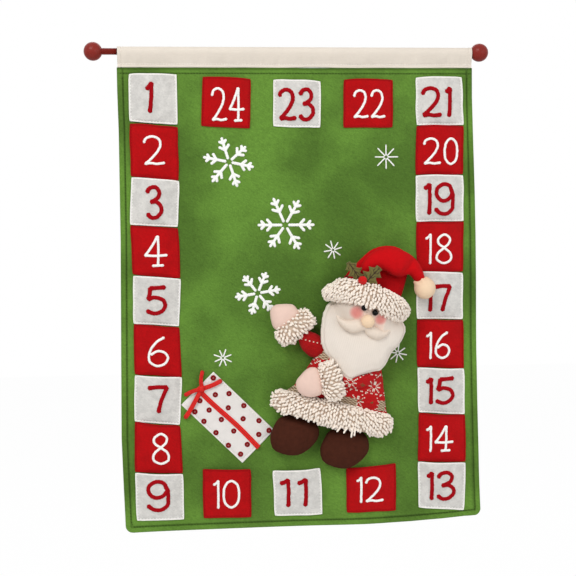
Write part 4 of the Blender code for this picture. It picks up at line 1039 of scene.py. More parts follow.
class Pocket:
    """One pocket's place, turn and side, read from its solid's box."""

    def __init__(self, number):
        low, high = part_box(f"pocket_{number:02d}")
        self.number = number
        self.centre = np.array([low.x + high.x, low.z + high.z]) / 2 + np.array(SEWN_SHIFT[number]) * 0.001
        self.turn = -SEWN_TURN.get(number, 0)
        lean = math.radians(abs(self.turn))
        self.side = (high.x - low.x) / (math.cos(lean) + math.sin(lean))
        self.corners = np.array(SEWN_CORNERS[number]) * 0.001

    def belly(self, across, up):
        """Shares across and up inside the seam, and the forward bow that they give.

        The bow is the bulge times the sine of a quarter turn up, times 1 less the square of the share across.
        """
        half = self.side / 2
        a = np.clip(across / (half - POCKET_SEAM), -1, 1)
        v = np.clip((up + half - POCKET_SEAM) / (self.side - POCKET_SEAM), 0, 1)
        return a, v, POCKET_BULGE * np.sin(v * math.pi / 2) * (1 - a**2)

    def bow(self, across, up):
        """The belly with soft dents, the seam's groove and a cut edge that curls a little."""
        a, v, belly = self.belly(across, up)
        edge = np.minimum(self.side / 2 - np.abs(across), up + self.side / 2)
        dents = 0.00045 * waves(across, up, 40 + self.number, 0.030) * (1 - a**2) * v
        groove = 0.00055 * np.exp(-((edge - cloth().seam_inset) / 0.0006) ** 2) * (edge > 0)
        curl = 0.00035 * np.clip(1 - edge / 0.0018, 0, 1) * (1 + waves(across, up, 70 + self.number, 0.012))
        return belly + dents - groove + curl

    def place(self, across, up):
        """Front plane places of points given from the pocket's middle, with its corners pulled about."""
        half = self.side / 2
        u, v = across / self.side + 0.5, up / self.side + 0.5
        pull = sum(self.corners[i, j] * ((u if i else 1 - u) * (v if j else 1 - v))[..., None]
                   for i in (0, 1) for j in (0, 1))
        a, b = across / half, up / half
        sway = np.stack([waves(0 * up, up, 200 + self.number, 0.045),
                         waves(across, 0 * up, 300 + self.number, 0.045)], axis=-1)
        flat = np.stack([across, up], axis=-1) * (1 - 0.020 * (a**8 * b**8))[..., None]
        return turned(flat + pull + 0.0005 * sway, self.turn) + self.centre

    def skin(self, across, up, lift=0.0):
        """Points on the pocket's front skin, lift metres in front of it."""
        flat = self.place(across, up)
        y = FRONT - POCKET_CLOTH - self.bow(across, up) - lift
        return hang(np.stack([flat[..., 0], y, flat[..., 1]], axis=-1))

    def local(self, x, z):
        """Places from the pocket's middle of front plane points: place() undone in a few corrections."""
        want = np.stack([x, z], axis=-1)
        at = turned(want - self.centre, -self.turn)
        for _ in range(4):
            at = at - turned(self.place(at[..., 0], at[..., 1]) - want, -self.turn)
        return np.moveaxis(at, -1, 0)


def make_pockets():
    """Each pocket is one square of felt: a closed shell on a grid, flat at three edges, bowed to its mouth."""
    for number in range(1, 25):
        p = Pocket(number)
        half = p.side / 2
        line = spread(-half, half, 0.0024, 0.0005, 0.0045)
        across, up = np.meshgrid(line, line)
        roll = 0.5 + 0.5 * rounded(np.minimum(half - np.abs(across), half - np.abs(up)), 0.0005)
        front = p.skin(across, up, -POCKET_CLOTH * (1 - roll) / 2)
        flat = p.place(across, up)
        _, _, belly = p.belly(across, up)
        back = hang(np.stack([flat[..., 0], FRONT - belly - POCKET_CLOTH * (1 - roll) / 2, flat[..., 1]], -1))
        uv = np.stack([across / p.side + 0.5, up / p.side + 0.5], axis=-1)
        points, faces, uv, marks = shell(front, back, uv)
        light = number % 2 == 1
        cut = "light_cut_edge" if light else "dark_cut_edge"
        made = make_mesh(f"pocket_{number:02d}_felt", points, faces,
                         [finish("light_felt" if light else "dark_felt"), finish(cut)], uv, marks)
        outward(made)
        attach(made, "banner")
        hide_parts(f"pocket_{number:02d}")
    for light, name in ((True, "white_pocket_stitches"), (False, "red_pocket_stitches")):
        parts = []
        for number in range(1 if light else 2, 25, 2):
            p = Pocket(number)
            inset = p.side / 2 - cloth().seam_inset
            top = p.side / 2 - 0.001
            corners = np.array([[-inset, top], [-inset, -inset], [inset, -inset], [inset, top]])
            route = even_curve_of(corners, 500)
            line = p.skin(route[:, 0], route[:, 1], -0.0001)
            parts.append(stitches(line, cloth().stitch_pitch, 0.60, 0.00036))
        points, faces = join(parts)
        made = make_mesh(name, points, faces, finish("light_thread" if light else "dark_thread"))
        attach(made, "banner")


# Strokes of each figure on a cap height of 1. A closed stroke repeats no point.
FIGURES = {
    "0": [[(0.30, 1), (0.07, 0.84), (0, 0.5), (0.07, 0.16), (0.30, 0), (0.53, 0.16), (0.60, 0.5),
           (0.53, 0.84)]],
    "1": [[(0, 0.87), (0.08, 0.92), (0.15, 1)], [(0.15, 1), (0.16, 0.5), (0.15, 0)]],
    "slanting 1": [[(0, 0.80), (0.16, 0.90), (0.26, 1)], [(0.26, 1), (0.24, 0.5), (0.16, 0)]],
    "2": [[(0, 0.80), (0.08, 0.94), (0.30, 1), (0.52, 0.92), (0.60, 0.72), (0.50, 0.48), (0.28, 0.24),
           (0.04, 0.03)], [(0.04, 0.03), (0.25, 0.05), (0.45, 0.02), (0.72, 0.05)]],
    "3": [[(0.02, 0.84), (0.14, 0.97), (0.38, 1), (0.54, 0.86), (0.50, 0.68), (0.30, 0.55), (0.18, 0.52)],
          [(0.18, 0.52), (0.42, 0.52), (0.60, 0.38), (0.62, 0.20), (0.44, 0.03), (0.20, 0), (0.02, 0.12)]],
    "4": [[(0.42, 1), (0.22, 0.66), (0, 0.36)], [(0, 0.36), (0.35, 0.34), (0.72, 0.36)],
          [(0.44, 1), (0.45, 0.5), (0.43, 0)], [(0.26, 0), (0.60, 0.01)]],
    "5": [[(0.12, 0.97), (0.60, 1)], [(0.12, 0.97), (0.09, 0.75), (0.05, 0.55)],
          [(0.05, 0.55), (0.25, 0.62), (0.52, 0.52), (0.60, 0.30), (0.48, 0.08), (0.24, 0), (0, 0.10)]],
    "6": [[(0.50, 1), (0.30, 0.88), (0.12, 0.66), (0.02, 0.38), (0.06, 0.14), (0.28, 0), (0.52, 0.08),
           (0.62, 0.28), (0.52, 0.47), (0.30, 0.53), (0.10, 0.42)]],
    "7": [[(0, 0.95), (0.30, 0.98), (0.62, 0.96)], [(0.62, 0.96), (0.48, 0.60), (0.38, 0.30), (0.32, 0)]],
    "8": [[(0.30, 0.54), (0.10, 0.68), (0.08, 0.86), (0.30, 1), (0.50, 0.88), (0.48, 0.70), (0.30, 0.54),
           (0.08, 0.36), (0.04, 0.14), (0.28, 0), (0.54, 0.10), (0.54, 0.34)]],
    "9": [[(0.56, 0.70), (0.46, 0.94), (0.24, 1), (0.04, 0.84), (0.04, 0.60), (0.22, 0.44), (0.44, 0.50),
           (0.57, 0.70), (0.58, 0.40), (0.56, 0.16), (0.38, 0), (0.16, 0.02), (0, 0.16)]],
}
CLOSED_FIGURES = "08"
# Millimetres from the pocket's column and row: where each number's middle is, how wide and how tall it is
NUMBERS = {
    1: (-183.8, -60.0, 9.1, 39.8), 2: (-178.9, -128.3, 29.1, 39.9), 3: (-180.2, -195.6, 21.5, 42.6),
    4: (-179.1, -259.1, 31.2, 42.0), 5: (-180.0, -323.5, 26.7, 37.5), 6: (-178.6, -391.2, 29.4, 41.5),
    7: (-179.8, -453.9, 26.8, 37.6), 8: (-178.4, -519.6, 24.4, 44.4), 9: (-182.2, -582.2, 29.6, 41.7),
    10: (-91.4, -583.5, 37.1, 40.3), 11: (-2.2, -584.7, 36.8, 39.2), 12: (101.3, -583.3, 38.5, 37.4),
    13: (198.7, -582.4, 38.8, 39.7), 14: (197.6, -517.8, 38.7, 37.6), 15: (198.0, -452.8, 38.6, 37.0),
    16: (196.2, -391.2, 34.4, 38.4), 17: (196.5, -327.2, 34.4, 37.0), 18: (196.8, -261.4, 37.0, 42.3),
    19: (197.8, -194.7, 41.0, 42.2), 20: (200.9, -131.3, 49.1, 37.5), 21: (195.1, -66.2, 39.5, 39.5),
    22: (104.9, -68.7, 44.5, 39.3), 23: (7.9, -69.2, 46.7, 41.6), 24: (-82.0, -69.1, 45.0, 45.3),
}


def chain_stroke(line, up, width, height, closed=False, pitch=0.0034, knob=0.0):
    """A raised embroidered stroke: an oval section carried along a line, swelling once per chain stitch.

    The half width is half of width times 0.86 plus 0.14 of the size of a sine of the length walked, and fuller
    at the ends by the share knob. The ends close in a quarter round.
    """
    length = length_of(line)
    steps = np.concatenate([[0], np.cumsum(np.linalg.norm(np.diff(line, axis=0), axis=1))])
    swell = 0.86 + 0.14 * np.abs(np.sin(math.pi * steps / pitch))
    if not closed:
        end = np.minimum(steps, length - steps)
        swell = swell * (1 + knob * np.exp(-(end / width) ** 2))
        swell = swell * np.maximum(rounded(end, width / 2), 0.2)
    if closed:
        held = np.concatenate([line[-1:], line, line[:1]])
        along = unit(held[2:] - held[:-2])
        upward = unit(up - along * (along * up).sum(axis=1, keepdims=True))
        across = np.cross(upward, along)
    else:
        along, across, upward = frames_along(line, up)
    sides = 12
    turn = np.arange(sides) * 2 * math.pi / sides
    swell = swell[:, None, None]
    rings = (line[:, None] + across[:, None] * (np.cos(turn) * width / 2)[None, :, None] * swell
             + upward[:, None] * (np.sin(turn) * height)[None, :, None] * swell)
    u = steps / length * max(round(length / pitch), 1)
    uv = np.stack([u[:, None] + 0 * turn[None], (turn / (2 * math.pi))[None] + 0 * u[:, None]], axis=-1)
    if closed:
        points = rings.reshape(-1, 3)
        return points, [cells(len(line), sides, True, True)], uv.reshape(-1, 2)
    points, faces = closed_tube(rings)
    return points, faces, np.concatenate([uv.reshape(-1, 2), [[u[0], 0.5], [u[-1], 0.5]]])


def strokes_of(number):
    """The strokes of a one or two figure number, its figures side by side, from 0 to 1 in both directions."""
    strokes, start = [], 0.0
    for figure_sign in ["slanting 1"] if number == 1 else str(number):
        for stroke in FIGURES[figure_sign]:
            strokes.append((np.array(stroke) + [start, 0], figure_sign in CLOSED_FIGURES))
        start += max(x for stroke in FIGURES[figure_sign] for x, _ in stroke) + 0.20
    wide = start - 0.20
    return [(stroke / [wide, 1], closed) for stroke, closed in strokes]


def make_numbers():
    """The numbers as chain-stitched strokes that lie on their pockets' bowed felt."""
    for number, (x, z, wide, tall) in NUMBERS.items():
        p = Pocket(number)
        width = cloth().number_width if number % 2 else cloth().slim_width
        box = (np.array([wide, tall]) * 0.001) - (0.0032 if number % 2 else 0.0040)
        parts, uvs = [], []
        for stroke, closed in strokes_of(number):
            flat = (stroke - 0.5) * box + np.array([x, z]) * 0.001
            count = max(int(length_of(flat) / 0.0009), 12)
            flat = even_curve(flat, count, closed)
            if not closed:
                flat = np.concatenate([flat[:1] - unit(flat[1:2] - flat[:1]) * 0.0016, flat,
                                       flat[-1:] + unit(flat[-1:] - flat[-2:-1]) * 0.0016])
            across, up = p.local(flat[:, 0], flat[:, 1])
            line = p.skin(across, up, 0.0003)
            ahead = p.skin(across, up, 0.0013)
            wobble = 0.00018 * waves(flat[:, 0], flat[:, 1], number, 0.006)
            line[:, 0] += wobble
            points, faces, uv = chain_stroke(line, unit(ahead - line), width, 0.0009, closed, knob=0.22)
            parts.append((points, faces))
            uvs.append(uv)
        points, faces = join(parts)
        name = "dark_thread" if number % 2 else "light_thread"
        made = make_mesh(f"number_{number:02d}", points, faces, finish(name), np.concatenate(uvs))
        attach(made, "banner")


# Gift and snowflakes

GIFT_TILT = 45.0  # degrees
GIFT_LENGTH, GIFT_WIDTH, GIFT_CLOTH = 0.1130, 0.0612, 0.0012
RIBBON_WIDTH = 0.0066
# Middle of each dot, in millimetres across and up
GIFT_DOTS = [(-106.7, -427.9), (-104.3, -450.4), (-86.2, -449.3), (-124.8, -458.0), (-131.6, -472.5),
             (-112.8, -470.7), (-87.4, -468.2), (-66.8, -465.7), (-119.9, -485.5), (-96.8, -483.7),
             (-68.0, -483.3), (-47.0, -486.3), (-104.2, -501.0), (-80.6, -499.4), (-47.5, -504.8),
             (-88.0, -518.4), (-62.9, -517.8), (-72.0, -530.6), (-33.8, -499.8)]


def on_banner(x, z, lift=0.0):
    """Points in front of the hung felt, from front plane places."""
    return hang(np.stack([x, FRONT - lift + 0 * x, z], axis=-1))


def on_gift(along, across, lift):
    """Points in front of the felt, from places along the tilted gift and across it."""
    low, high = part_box("gift_patch")
    centre = [(low.x + high.x) / 2, (low.z + high.z) / 2 - 0.0034]
    flat = turned(np.stack([along, across], axis=-1), GIFT_TILT) + centre
    return on_banner(flat[..., 0], flat[..., 1], lift)


def make_gift():
    """A white patch with a rolled edge, a sewn groove and its stitches."""
    long, wide = GIFT_LENGTH, GIFT_WIDTH
    along, across = np.meshgrid(spread(-long / 2, long / 2, 0.003, 0.0006, 0.0048),
                                spread(-wide / 2, wide / 2, 0.003, 0.0006, 0.0048))
    edge = np.minimum(long / 2 - np.abs(along), wide / 2 - np.abs(across))
    roll = rounded(edge, 0.0007) * 0.6 + 0.4
    proud = 0.0007 * np.clip((edge - 0.0030) / 0.006, 0, 1) ** 0.5 + 0.00015 * waves(along, across, 31, 0.02)
    groove = 0.0006 * np.exp(-((edge - 0.0030) / 0.0006) ** 2)
    front = on_gift(along, across, GIFT_CLOTH * roll + (proud - groove))
    back = on_gift(along, across, 0.0 * along)
    uv = np.stack([along / long + 0.5, across / wide + 0.5], axis=-1)
    points, faces, uv, _ = shell(front, back, uv)
    made = outward(make_mesh("gift_cloth", points, faces, finish("gift_cloth"), uv))
    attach(made, "banner")
    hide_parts("gift_patch")

    corner = np.array([[-1, -1], [1, -1], [1, 1], [-1, 1], [-1, -1]]) * [long / 2 - 0.0030, wide / 2 - 0.0030]
    route = even_curve_of(corner, 900)
    line = on_gift(route[:, 0], route[:, 1], GIFT_CLOTH + 0.0001)
    made = make_mesh("gift_stitches", *stitches(line, 0.0036, 0.6, 0.00032), finish("light_thread"))
    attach(made, "banner")


def make_ribbon():
    """A satin band along the gift: it sways by a slow sine, and its section is arched by a cosine."""
    reach = GIFT_LENGTH / 2 + 0.001
    along, across = np.meshgrid(np.linspace(-reach, reach, 70), np.linspace(-0.5, 0.5, 11) * RIBBON_WIDTH)
    sway = across + 0.0008 * np.sin(along * 60 + 0.5)
    arch = 0.0005 * np.cos(across / RIBBON_WIDTH * math.pi) + 0.0003 * waves(along, across, 8, 0.02)
    lift = GIFT_CLOTH + 0.0010 + arch
    uv = np.stack([along / RIBBON_WIDTH * 0.1, across / RIBBON_WIDTH], axis=-1)
    points, faces, uv, _ = shell(on_gift(along, sway, lift + 0.0005), on_gift(along, sway, lift - 0.0001), uv)
    made = outward(make_mesh("ribbon_band", points, faces, finish("gift_satin"), uv))
    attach(made, "banner")
    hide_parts("gift_ribbon")


def make_bow():
    """The satin bow: four ends as flat strokes that arch forward from a puckered knot."""
    knot = np.array([-0.1220, -0.4416])
    arms = [[(0, 0), (-0.0010, 0.012), (0.0014, 0.0245)], [(0, 0), (0.013, 0.0040), (0.0270, 0.0108)],
            [(0, 0), (-0.012, -0.0030), (-0.0236, -0.0086)],
            [(0, 0), (-0.009, -0.016), (-0.017, -0.030), (-0.0235, -0.0395)]]
    parts, uvs = [], []
    for i, arm in enumerate(arms):
        flat = even_curve(np.array(arm), 40) + knot
        rise = 0.0030 + 0.0016 * np.sin(np.linspace(0, math.pi, 40)) - 0.0008 * np.linspace(0, 1, 40)
        line = on_banner(flat[:, 0], flat[:, 1], GIFT_CLOTH + rise)
        up = np.tile(FRONTWARD, (40, 1)) + 0.35 * np.sin(np.linspace(0, 2.5, 40) + i)[:, None] * [1.0, 0, 0]
        points, faces, uv = chain_stroke(line, unit(up), 0.0062 + 0.0008 * (i % 2), 0.0009, False, 1.0)
        parts.append((points, faces))
        uvs.append(uv[:, ::-1])
    turn, rise = np.meshgrid(np.arange(20) * 2 * math.pi / 20, np.linspace(-1.45, 1.45, 11))
    puff = 1 + 0.06 * np.cos(5 * turn)
    blob = np.stack([0.0048 * np.cos(rise) * np.cos(turn) * puff, 0.0028 * np.sin(rise) + 0 * turn,
                     0.0048 * np.cos(rise) * np.sin(turn) * puff], axis=-1)
    points, faces = closed_tube(blob)
    parts.append((points + on_banner(knot[:1], knot[1:], GIFT_CLOTH + 0.0042), faces))
    uvs.append(np.concatenate([np.stack([rise * 0.1, turn / 6.3], -1).reshape(-1, 2), [[0, 0], [0, 0]]]))
    points, faces = join(parts)
    made = outward(make_mesh("gift_bow_satin", points, faces, finish("gift_satin"), np.concatenate(uvs)))
    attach(made, "banner")
    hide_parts("gift_bow")


def make_dots():
    """Satin-stitched dots: a low dome whose radius is rippled by a cosine of the angle."""
    profile = [(0.0008, 0.25), (0.0016, 0.45), (0.0026, 0.75), (0.0032, 0.6), (0.0036, 0.15), (0.0036, -0.3)]
    radius, height = np.array(profile).T[:, :, None]
    turn = np.arange(28) * 2 * math.pi / 28
    out = radius * (1 + 0.03 * np.cos(9 * turn))
    rings = np.stack([out * np.cos(turn), -height * 0.001 + 0 * out, out * np.sin(turn)], axis=-1)
    base, faces = closed_tube(rings)
    u, v = np.broadcast_arrays(turn / (2 * math.pi), radius / 0.0036)
    uv = np.concatenate([np.stack([u, v], axis=-1).reshape(-1, 2), [[0, 0], [0, 1]]])
    spots = np.array(GIFT_DOTS) * 0.001
    places = on_banner(spots[:, 0], spots[:, 1], GIFT_CLOTH + 0.0007)
    count = len(spots)
    points, faces, uv = copies(base, faces, places, np.tile(np.eye(3), (count, 1, 1)), np.ones((count, 3)), uv)
    made = outward(make_mesh("gift_dots", points, faces, finish("gift_dot"), uv))
    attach(made, "banner")


# Snowflakes: middle in millimetres, radius, rays, and whether the rays branch
SNOWFLAKES = [(127.4, -138.2, 16.0, 8, False), (55.0, -260.9, 12.5, 8, False), (-93.4, -401.7, 12.5, 8, False),
              (141.1, -400.5, 13.0, 8, False), (-81.5, -143.4, 33.0, 6, True), (-8.5, -226.9, 37.0, 6, True),
              (-46.1, -316.7, 31.0, 6, True)]


def make_snowflakes():
    """Chain-stitched snowflakes: rays from a middle, and on the large ones two pairs of branches to a ray."""
    parts, uvs = [], []
    for i, (x, z, radius, rays, branched) in enumerate(SNOWFLAKES):
        middle, radius = np.array([x, z]) * 0.001, radius * 0.001
        rng = np.random.default_rng(500 + i)
        for ray in range(rays):
            angle = 2 * math.pi * ray / rays + rng.uniform(-0.07, 0.07) + 0.2 * i
            reach = radius * rng.uniform(0.92, 1.06)
            out = np.array([math.cos(angle), math.sin(angle)])
            lines = [(middle + out * radius * 0.10, middle + out * reach)]
            if branched:
                for share, size in ((0.48, 0.30), (0.74, 0.22)):
                    for lean in (-1, 1):
                        tip = np.array([math.cos(angle + lean * 0.85), math.sin(angle + lean * 0.85)])
                        foot = middle + out * reach * share
                        lines.append((foot, foot + tip * radius * size))
            for start, stop in lines:
                flat = np.linspace(start, stop, max(int(np.linalg.norm(stop - start) / 0.0008), 6))
                line = on_banner(flat[:, 0], flat[:, 1], 0.0001)
                points, faces, uv = chain_stroke(line, np.tile(FRONTWARD, (len(line), 1)),
                                                 0.0040 if branched else 0.0019, 0.0008)
                parts.append((points, faces))
                uvs.append(uv)
    points, faces = join(parts)
    made = make_mesh("snowflakes", points, faces, finish("light_thread"), np.concatenate(uvs))
    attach(made, "banner")


# Stuffed pieces

def mesh_arrays(mesh):
    points = np.empty(len(mesh.vertices) * 3)
    mesh.vertices.foreach_get("co", points)
    edges = np.empty(len(mesh.edges) * 2, np.int64)
    mesh.edges.foreach_get("vertices", edges)
    return points.reshape(-1, 3), edges.reshape(-1, 2)


def add_uv(mesh, uv):
    """A UV map from one pair of values for each vertex."""
    loops = np.empty(len(mesh.loops), np.int64)
    mesh.loops.foreach_get("vertex_index", loops)
    mesh.uv_layers.new(name="UVMap").data.foreach_set("uv", uv[loops].astype(np.float32).ravel())


def set_points(mesh, points):
    mesh.vertices.foreach_set("co", np.asarray(points, np.float32).ravel())
    mesh.update()


def eased(points, edges, rounds, pull=0.6, push=-0.62):
    """Smoothing: each point goes part of the way to its neighbours' mean, and then a little more back."""
    n = len(points)
    share = np.bincount(edges.ravel(), minlength=n)[:, None]
    for _ in range(rounds):
        for step in (pull, push):
            total = np.stack([np.bincount(edges[:, 0], points[edges[:, 1], k], n)
                              + np.bincount(edges[:, 1], points[edges[:, 0], k], n) for k in range(3)], axis=1)
            points = points + step * (total / np.maximum(share, 1) - points)
    return points


def applied(obj):
    """The object's mesh with its modifiers worked in."""
    seen = bpy.context.evaluated_depsgraph_get()
    mesh = bpy.data.meshes.new_from_object(obj.evaluated_get(seen))
    obj.modifiers.clear()
    old, obj.data = obj.data, mesh
    bpy.data.meshes.remove(old)
    return obj


def from_nodes(name, *nodes, grow=0.0):
    """A new object with the merged mesh of some solids, each grown outwards a little."""
    shape = bmesh.new()
    for node in nodes:
        shape.from_mesh(frame["nodes"][node].data)
    bmesh.ops.remove_doubles(shape, verts=shape.verts, dist=1e-6)
    shape.normal_update()
    for vert in shape.verts:
        vert.co += vert.normal * grow
    mesh = bpy.data.meshes.new(name)
    shape.to_mesh(mesh)
    shape.free()
    made = bpy.data.objects.new(name, mesh)
    bpy.context.scene.collection.objects.link(made)
    return made


def filled(made, material, voxel=0.0022, rounds=6, pressure=4.0, cap=None):
    """A stuffed piece: a form remeshed evenly, eased, blown up as cloth as far as a cap, then subdivided."""
    remesh = made.modifiers.new("Even", "REMESH")
    remesh.mode, remesh.voxel_size = "VOXEL", voxel
    applied(made)
    start, edges = mesh_arrays(made.data)
    start = eased(start, edges, rounds)
    set_points(made.data, start)
    if pressure:
        scene = bpy.context.scene
        blow = made.modifiers.new("Filling", "CLOTH")
        settings = blow.settings
        settings.quality, settings.mass = 5, 0.3
        settings.use_pressure, settings.uniform_pressure_force = True, pressure
        settings.tension_stiffness = settings.compression_stiffness = 15
        settings.bending_stiffness = 0.5
        settings.effector_weights.gravity = 0
        blow.point_cache.frame_start, blow.point_cache.frame_end = 1, 20
        for number in range(1, 21):
            scene.frame_set(number)
        applied(made)
        scene.frame_set(1)
        grown, _ = mesh_arrays(made.data)
        move = grown - start
        far = np.linalg.norm(move, axis=1, keepdims=True)
        limit = figure().filling if cap is None else cap
        start = start + move * np.minimum(1, limit / np.maximum(far, 1e-9))
    start[:, 1] = np.minimum(start[:, 1], FRONT + 0.0002)
    set_points(made.data, start)
    smooth = made.modifiers.new("Smooth", "SUBSURF")
    smooth.levels = smooth.render_levels = 1
    applied(made)
    made.data.materials.clear()
    made.data.materials.append(finish(material))
    made.data.shade_smooth()
    return made


def settle(obj, body, nodes):
    """Hangs a finished piece with the cloth, sets it on the body that it rides on and hides the solids that it
    stands for.
    """
    points, _ = mesh_arrays(obj.data)
    set_points(obj.data, hang(points))
    if body:
        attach(obj, body)
    if nodes:
        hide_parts(*nodes)
    return obj


def between(name, upper, lower, depth, middle, steps=60, sides=28, flat_back=0.6):
    """A stuffed form between two edge curves of the front plane, in millimetres.

    At each step along them its section is an oval from one edge to the other, depth deep in front of its middle
    plane and flat_back of that behind. Depth and middle are lists of values along the way.
    """
    upper, lower = even_curve(upper, steps) * 0.001, even_curve(lower, steps) * 0.001
    s = np.linspace(0, 1, steps)
    depth = np.interp(s, np.linspace(0, 1, len(depth)), depth) * 0.001
    middle = np.interp(s, np.linspace(0, 1, len(middle)), middle) * 0.001
    turn = np.arange(sides) * 2 * math.pi / sides
    c, d = np.cos(turn)[None, :, None], np.sin(turn)[None, :]
    flat = (upper + lower)[:, None] / 2 + (upper - lower)[:, None] / 2 * c
    front = np.where(d > 0, d, d * flat_back) * depth[:, None] + middle[:, None]
    rings = np.stack([flat[..., 0], FRONT - front, flat[..., 1]], axis=-1)
    points, faces = closed_tube(rings)
    return outward(make_mesh(name, points, faces, []))


def pillow(name, outline, depth, middle, squareness=2.4, rings=16, steps=96, flat_back=0.7):
    """A crowned form inside a closed outline, in millimetres.

    At a share r of the way out from the outline's middle its depth is that of the middle times the square root
    of 1 less r to the squareness.
    """
    edge = even_curve(outline, steps, True) * 0.001
    centre = edge.mean(axis=0)
    r = np.sin(np.linspace(0.06, 1, rings) * math.pi / 2)
    height = np.sqrt(np.clip(1 - r**squareness, 0, 1)) * depth * 0.001
    flat = centre + (edge - centre)[None] * r[:, None, None]
    plane = FRONT - middle * 0.001 + 0 * flat[..., 0]
    front = np.stack([flat[..., 0], plane - height[:, None], flat[..., 1]], axis=-1)
    back = np.stack([flat[..., 0], plane + flat_back * height[:, None], flat[..., 1]], axis=-1)
    points, faces = closed_tube(np.concatenate([front, back[-2::-1]]))
    return outward(make_mesh(name, points, faces, []))


def loop_shape(sides=6, rings=6):
    """One loop of pile: a plump bent capsule along X, one unit long, that rises and bows over."""
    s = np.linspace(0.03, 0.97, rings)
    turn = np.arange(sides) * 2 * math.pi / sides
    line = np.stack([s - 0.25, 0 * s, 0.42 * np.sin(math.pi * s * 0.9)], axis=1)
    width = np.sqrt(1 - (2 * s - 1) ** 2) ** 0.6
    rings = line[:, None] + np.stack([0 * turn[None] * width[:, None], 0.5 * np.cos(turn) * width[:, None],
                                      0.5 * np.sin(turn) * width[:, None]], axis=-1)
    return closed_tube(rings)


def pile(name, core, places, normals, lies, seed, stretch=1.0, lean=0.46):
    """Loops set on a core, a little disordered.

    Each points along its own lie, raised towards the normal by about lean. A loop whose place is further than
    4.6 mm from the core is left out.
    """
    points, _ = mesh_arrays(core.data)
    tree = BVHTree.FromPolygons([tuple(p) for p in points], [tuple(f.vertices) for f in core.data.polygons])
    near = [tree.find_nearest(Vector(p)) for p in places]
    ok = np.array([n[3] for n in near]) < 0.0046
    on = np.array([tuple(n[0]) for n in near])[ok]
    normals, lies = normals[ok], lies[ok]
    stretch = np.broadcast_to(stretch, len(places))[ok]
    rng = np.random.default_rng(seed)
    n = len(on)
    normals = unit(normals + rng.normal(0, 0.12, (n, 3)))
    lies = unit(lies + rng.normal(0, 0.32, (n, 3)))
    lies = unit(lies - normals * (lies * normals).sum(axis=1, keepdims=True))
    forward = unit(lies + lean * rng.lognormal(0, 0.42, (n, 1)) * normals)
    across = unit(np.cross(normals, forward))
    axes = np.stack([forward, across, np.cross(forward, across)], axis=1)
    length, width = figure().loop_length * stretch, figure().loop_width
    sizes = np.stack([length * rng.uniform(0.78, 1.24, n), width * rng.uniform(0.82, 1.10, n),
                      width * rng.uniform(0.88, 1.06, n)], axis=1)
    base, faces = loop_shape()
    points, faces, _ = copies(base, faces, on, axes, sizes)
    return settle(outward(make_mesh(name, points, faces, finish("loop_yarn"))), "banner", ())


def limb_places(path, halves, flat, rows, pitch, seed, fan, sign=1.0):
    """Places, normals and directions on the front of a bent limb of oval section.

    path holds x, forward and z of the limb's middle line. halves are its half heights along it, flat its depth
    over its height. Rows run round the section, from its upper edge over the front to its lower edge. The loops
    point across the limb, to its lower edge when sign is 1, and fan out towards its ends.
    """
    line = even_curve(np.asarray(path, float), 400)
    count = int(length_of(line) / pitch)
    line = even_curve_of(line, count)
    share = np.linspace(0, 1, count)
    half = np.interp(share, np.linspace(0, 1, len(halves)), halves)
    along = unit(np.gradient(line, axis=0))
    front = np.tile(FRONTWARD, (count, 1))
    up = unit(np.cross(along, front))
    up *= np.where(up[:, 2:] < 0, -1, 1)
    out = unit(front - along * (along * front).sum(axis=1, keepdims=True))
    rng = np.random.default_rng(seed)
    angles = np.linspace(1.9, -1.9, rows)
    places, normals, lies, edges = [], [], [], []
    for angle in angles:
        a = angle + rng.uniform(-0.07, 0.07, count) + 0.5 * (angles[1] - angles[0]) * (np.arange(count) % 2)
        c, s = np.cos(a)[:, None], np.sin(a)[:, None]
        shift = rng.uniform(-0.26, 0.26, count)[:, None] * pitch * along
        places.append(line + shift + out * c * half[:, None] * flat + up * s * half[:, None])
        normals.append(unit(out * c / flat + up * s))
        lies.append(unit((out * s * flat - up * c) * sign + along * (fan * (share - 0.5))[:, None]))
        edges.append(np.clip(-sign * s[:, 0], 0, 1))
    return (np.concatenate(places), np.concatenate(normals), np.concatenate(lies), np.concatenate(edges))


def end_places(path, halves, flat, seed):
    """Loops that close the two ends of a limb and point away from it."""
    line = even_curve(np.asarray(path, float), 60)
    rng = np.random.default_rng(seed)
    places, normals, lies = [], [], []
    for at, way, half in ((line[0], unit(line[0] - line[3]), halves[0]),
                          (line[-1], unit(line[-1] - line[-4]), halves[-1])):
        n = 22
        out = unit(FRONTWARD - way * np.dot(way, FRONTWARD))
        up = np.cross(way, out)
        a, r = rng.uniform(0, 2 * math.pi, n)[:, None], np.sqrt(rng.uniform(0, 1, n))[:, None] * half
        places.append(at - way * 0.001 + out * np.cos(a) * r * flat + up * np.sin(a) * r)
        normals.append(unit(np.tile(way, (n, 1)) + 0.3 * out))
        lies.append(unit(out * np.cos(a) + up * np.sin(a) + 0.6 * way))
    return np.concatenate(places), np.concatenate(normals), np.concatenate(lies)


# Middle lines of the looped pieces, in millimetres across, forward of the felt and up
TRIM_PATH = [(-23.036, 10.44, -456.144), (-8.736, 19.14, -461.963), (49.12, 29.0, -476.926),
             (106.977, 19.14, -491.888), (123.676, 10.44, -497.707)]
BRIM_PATH = [(40.60, 15.26, -318.60), (49.00, 26.00, -314.60), (62.53, 36.25, -312.20), (99.11, 47.7, -321.34),
             (132.68, 36.25, -337.98), (145.56, 15.26, -347.03)]


def make_coat():
    """The stuffed coat in knitted cloth with its two sleeves."""
    for name, node, knit, voxel, rounds in (("coat_body", "coat", "coat_knit", 0.0026, 8),
                                            ("sleeve_raised", "arm_raised", "sleeve_knit", 0.0018, 5),
                                            ("sleeve_lowered", "arm_lowered", "coat_knit", 0.0018, 5)):
        settle(filled(from_nodes(name, node), knit, voxel, rounds), "banner", (node,))


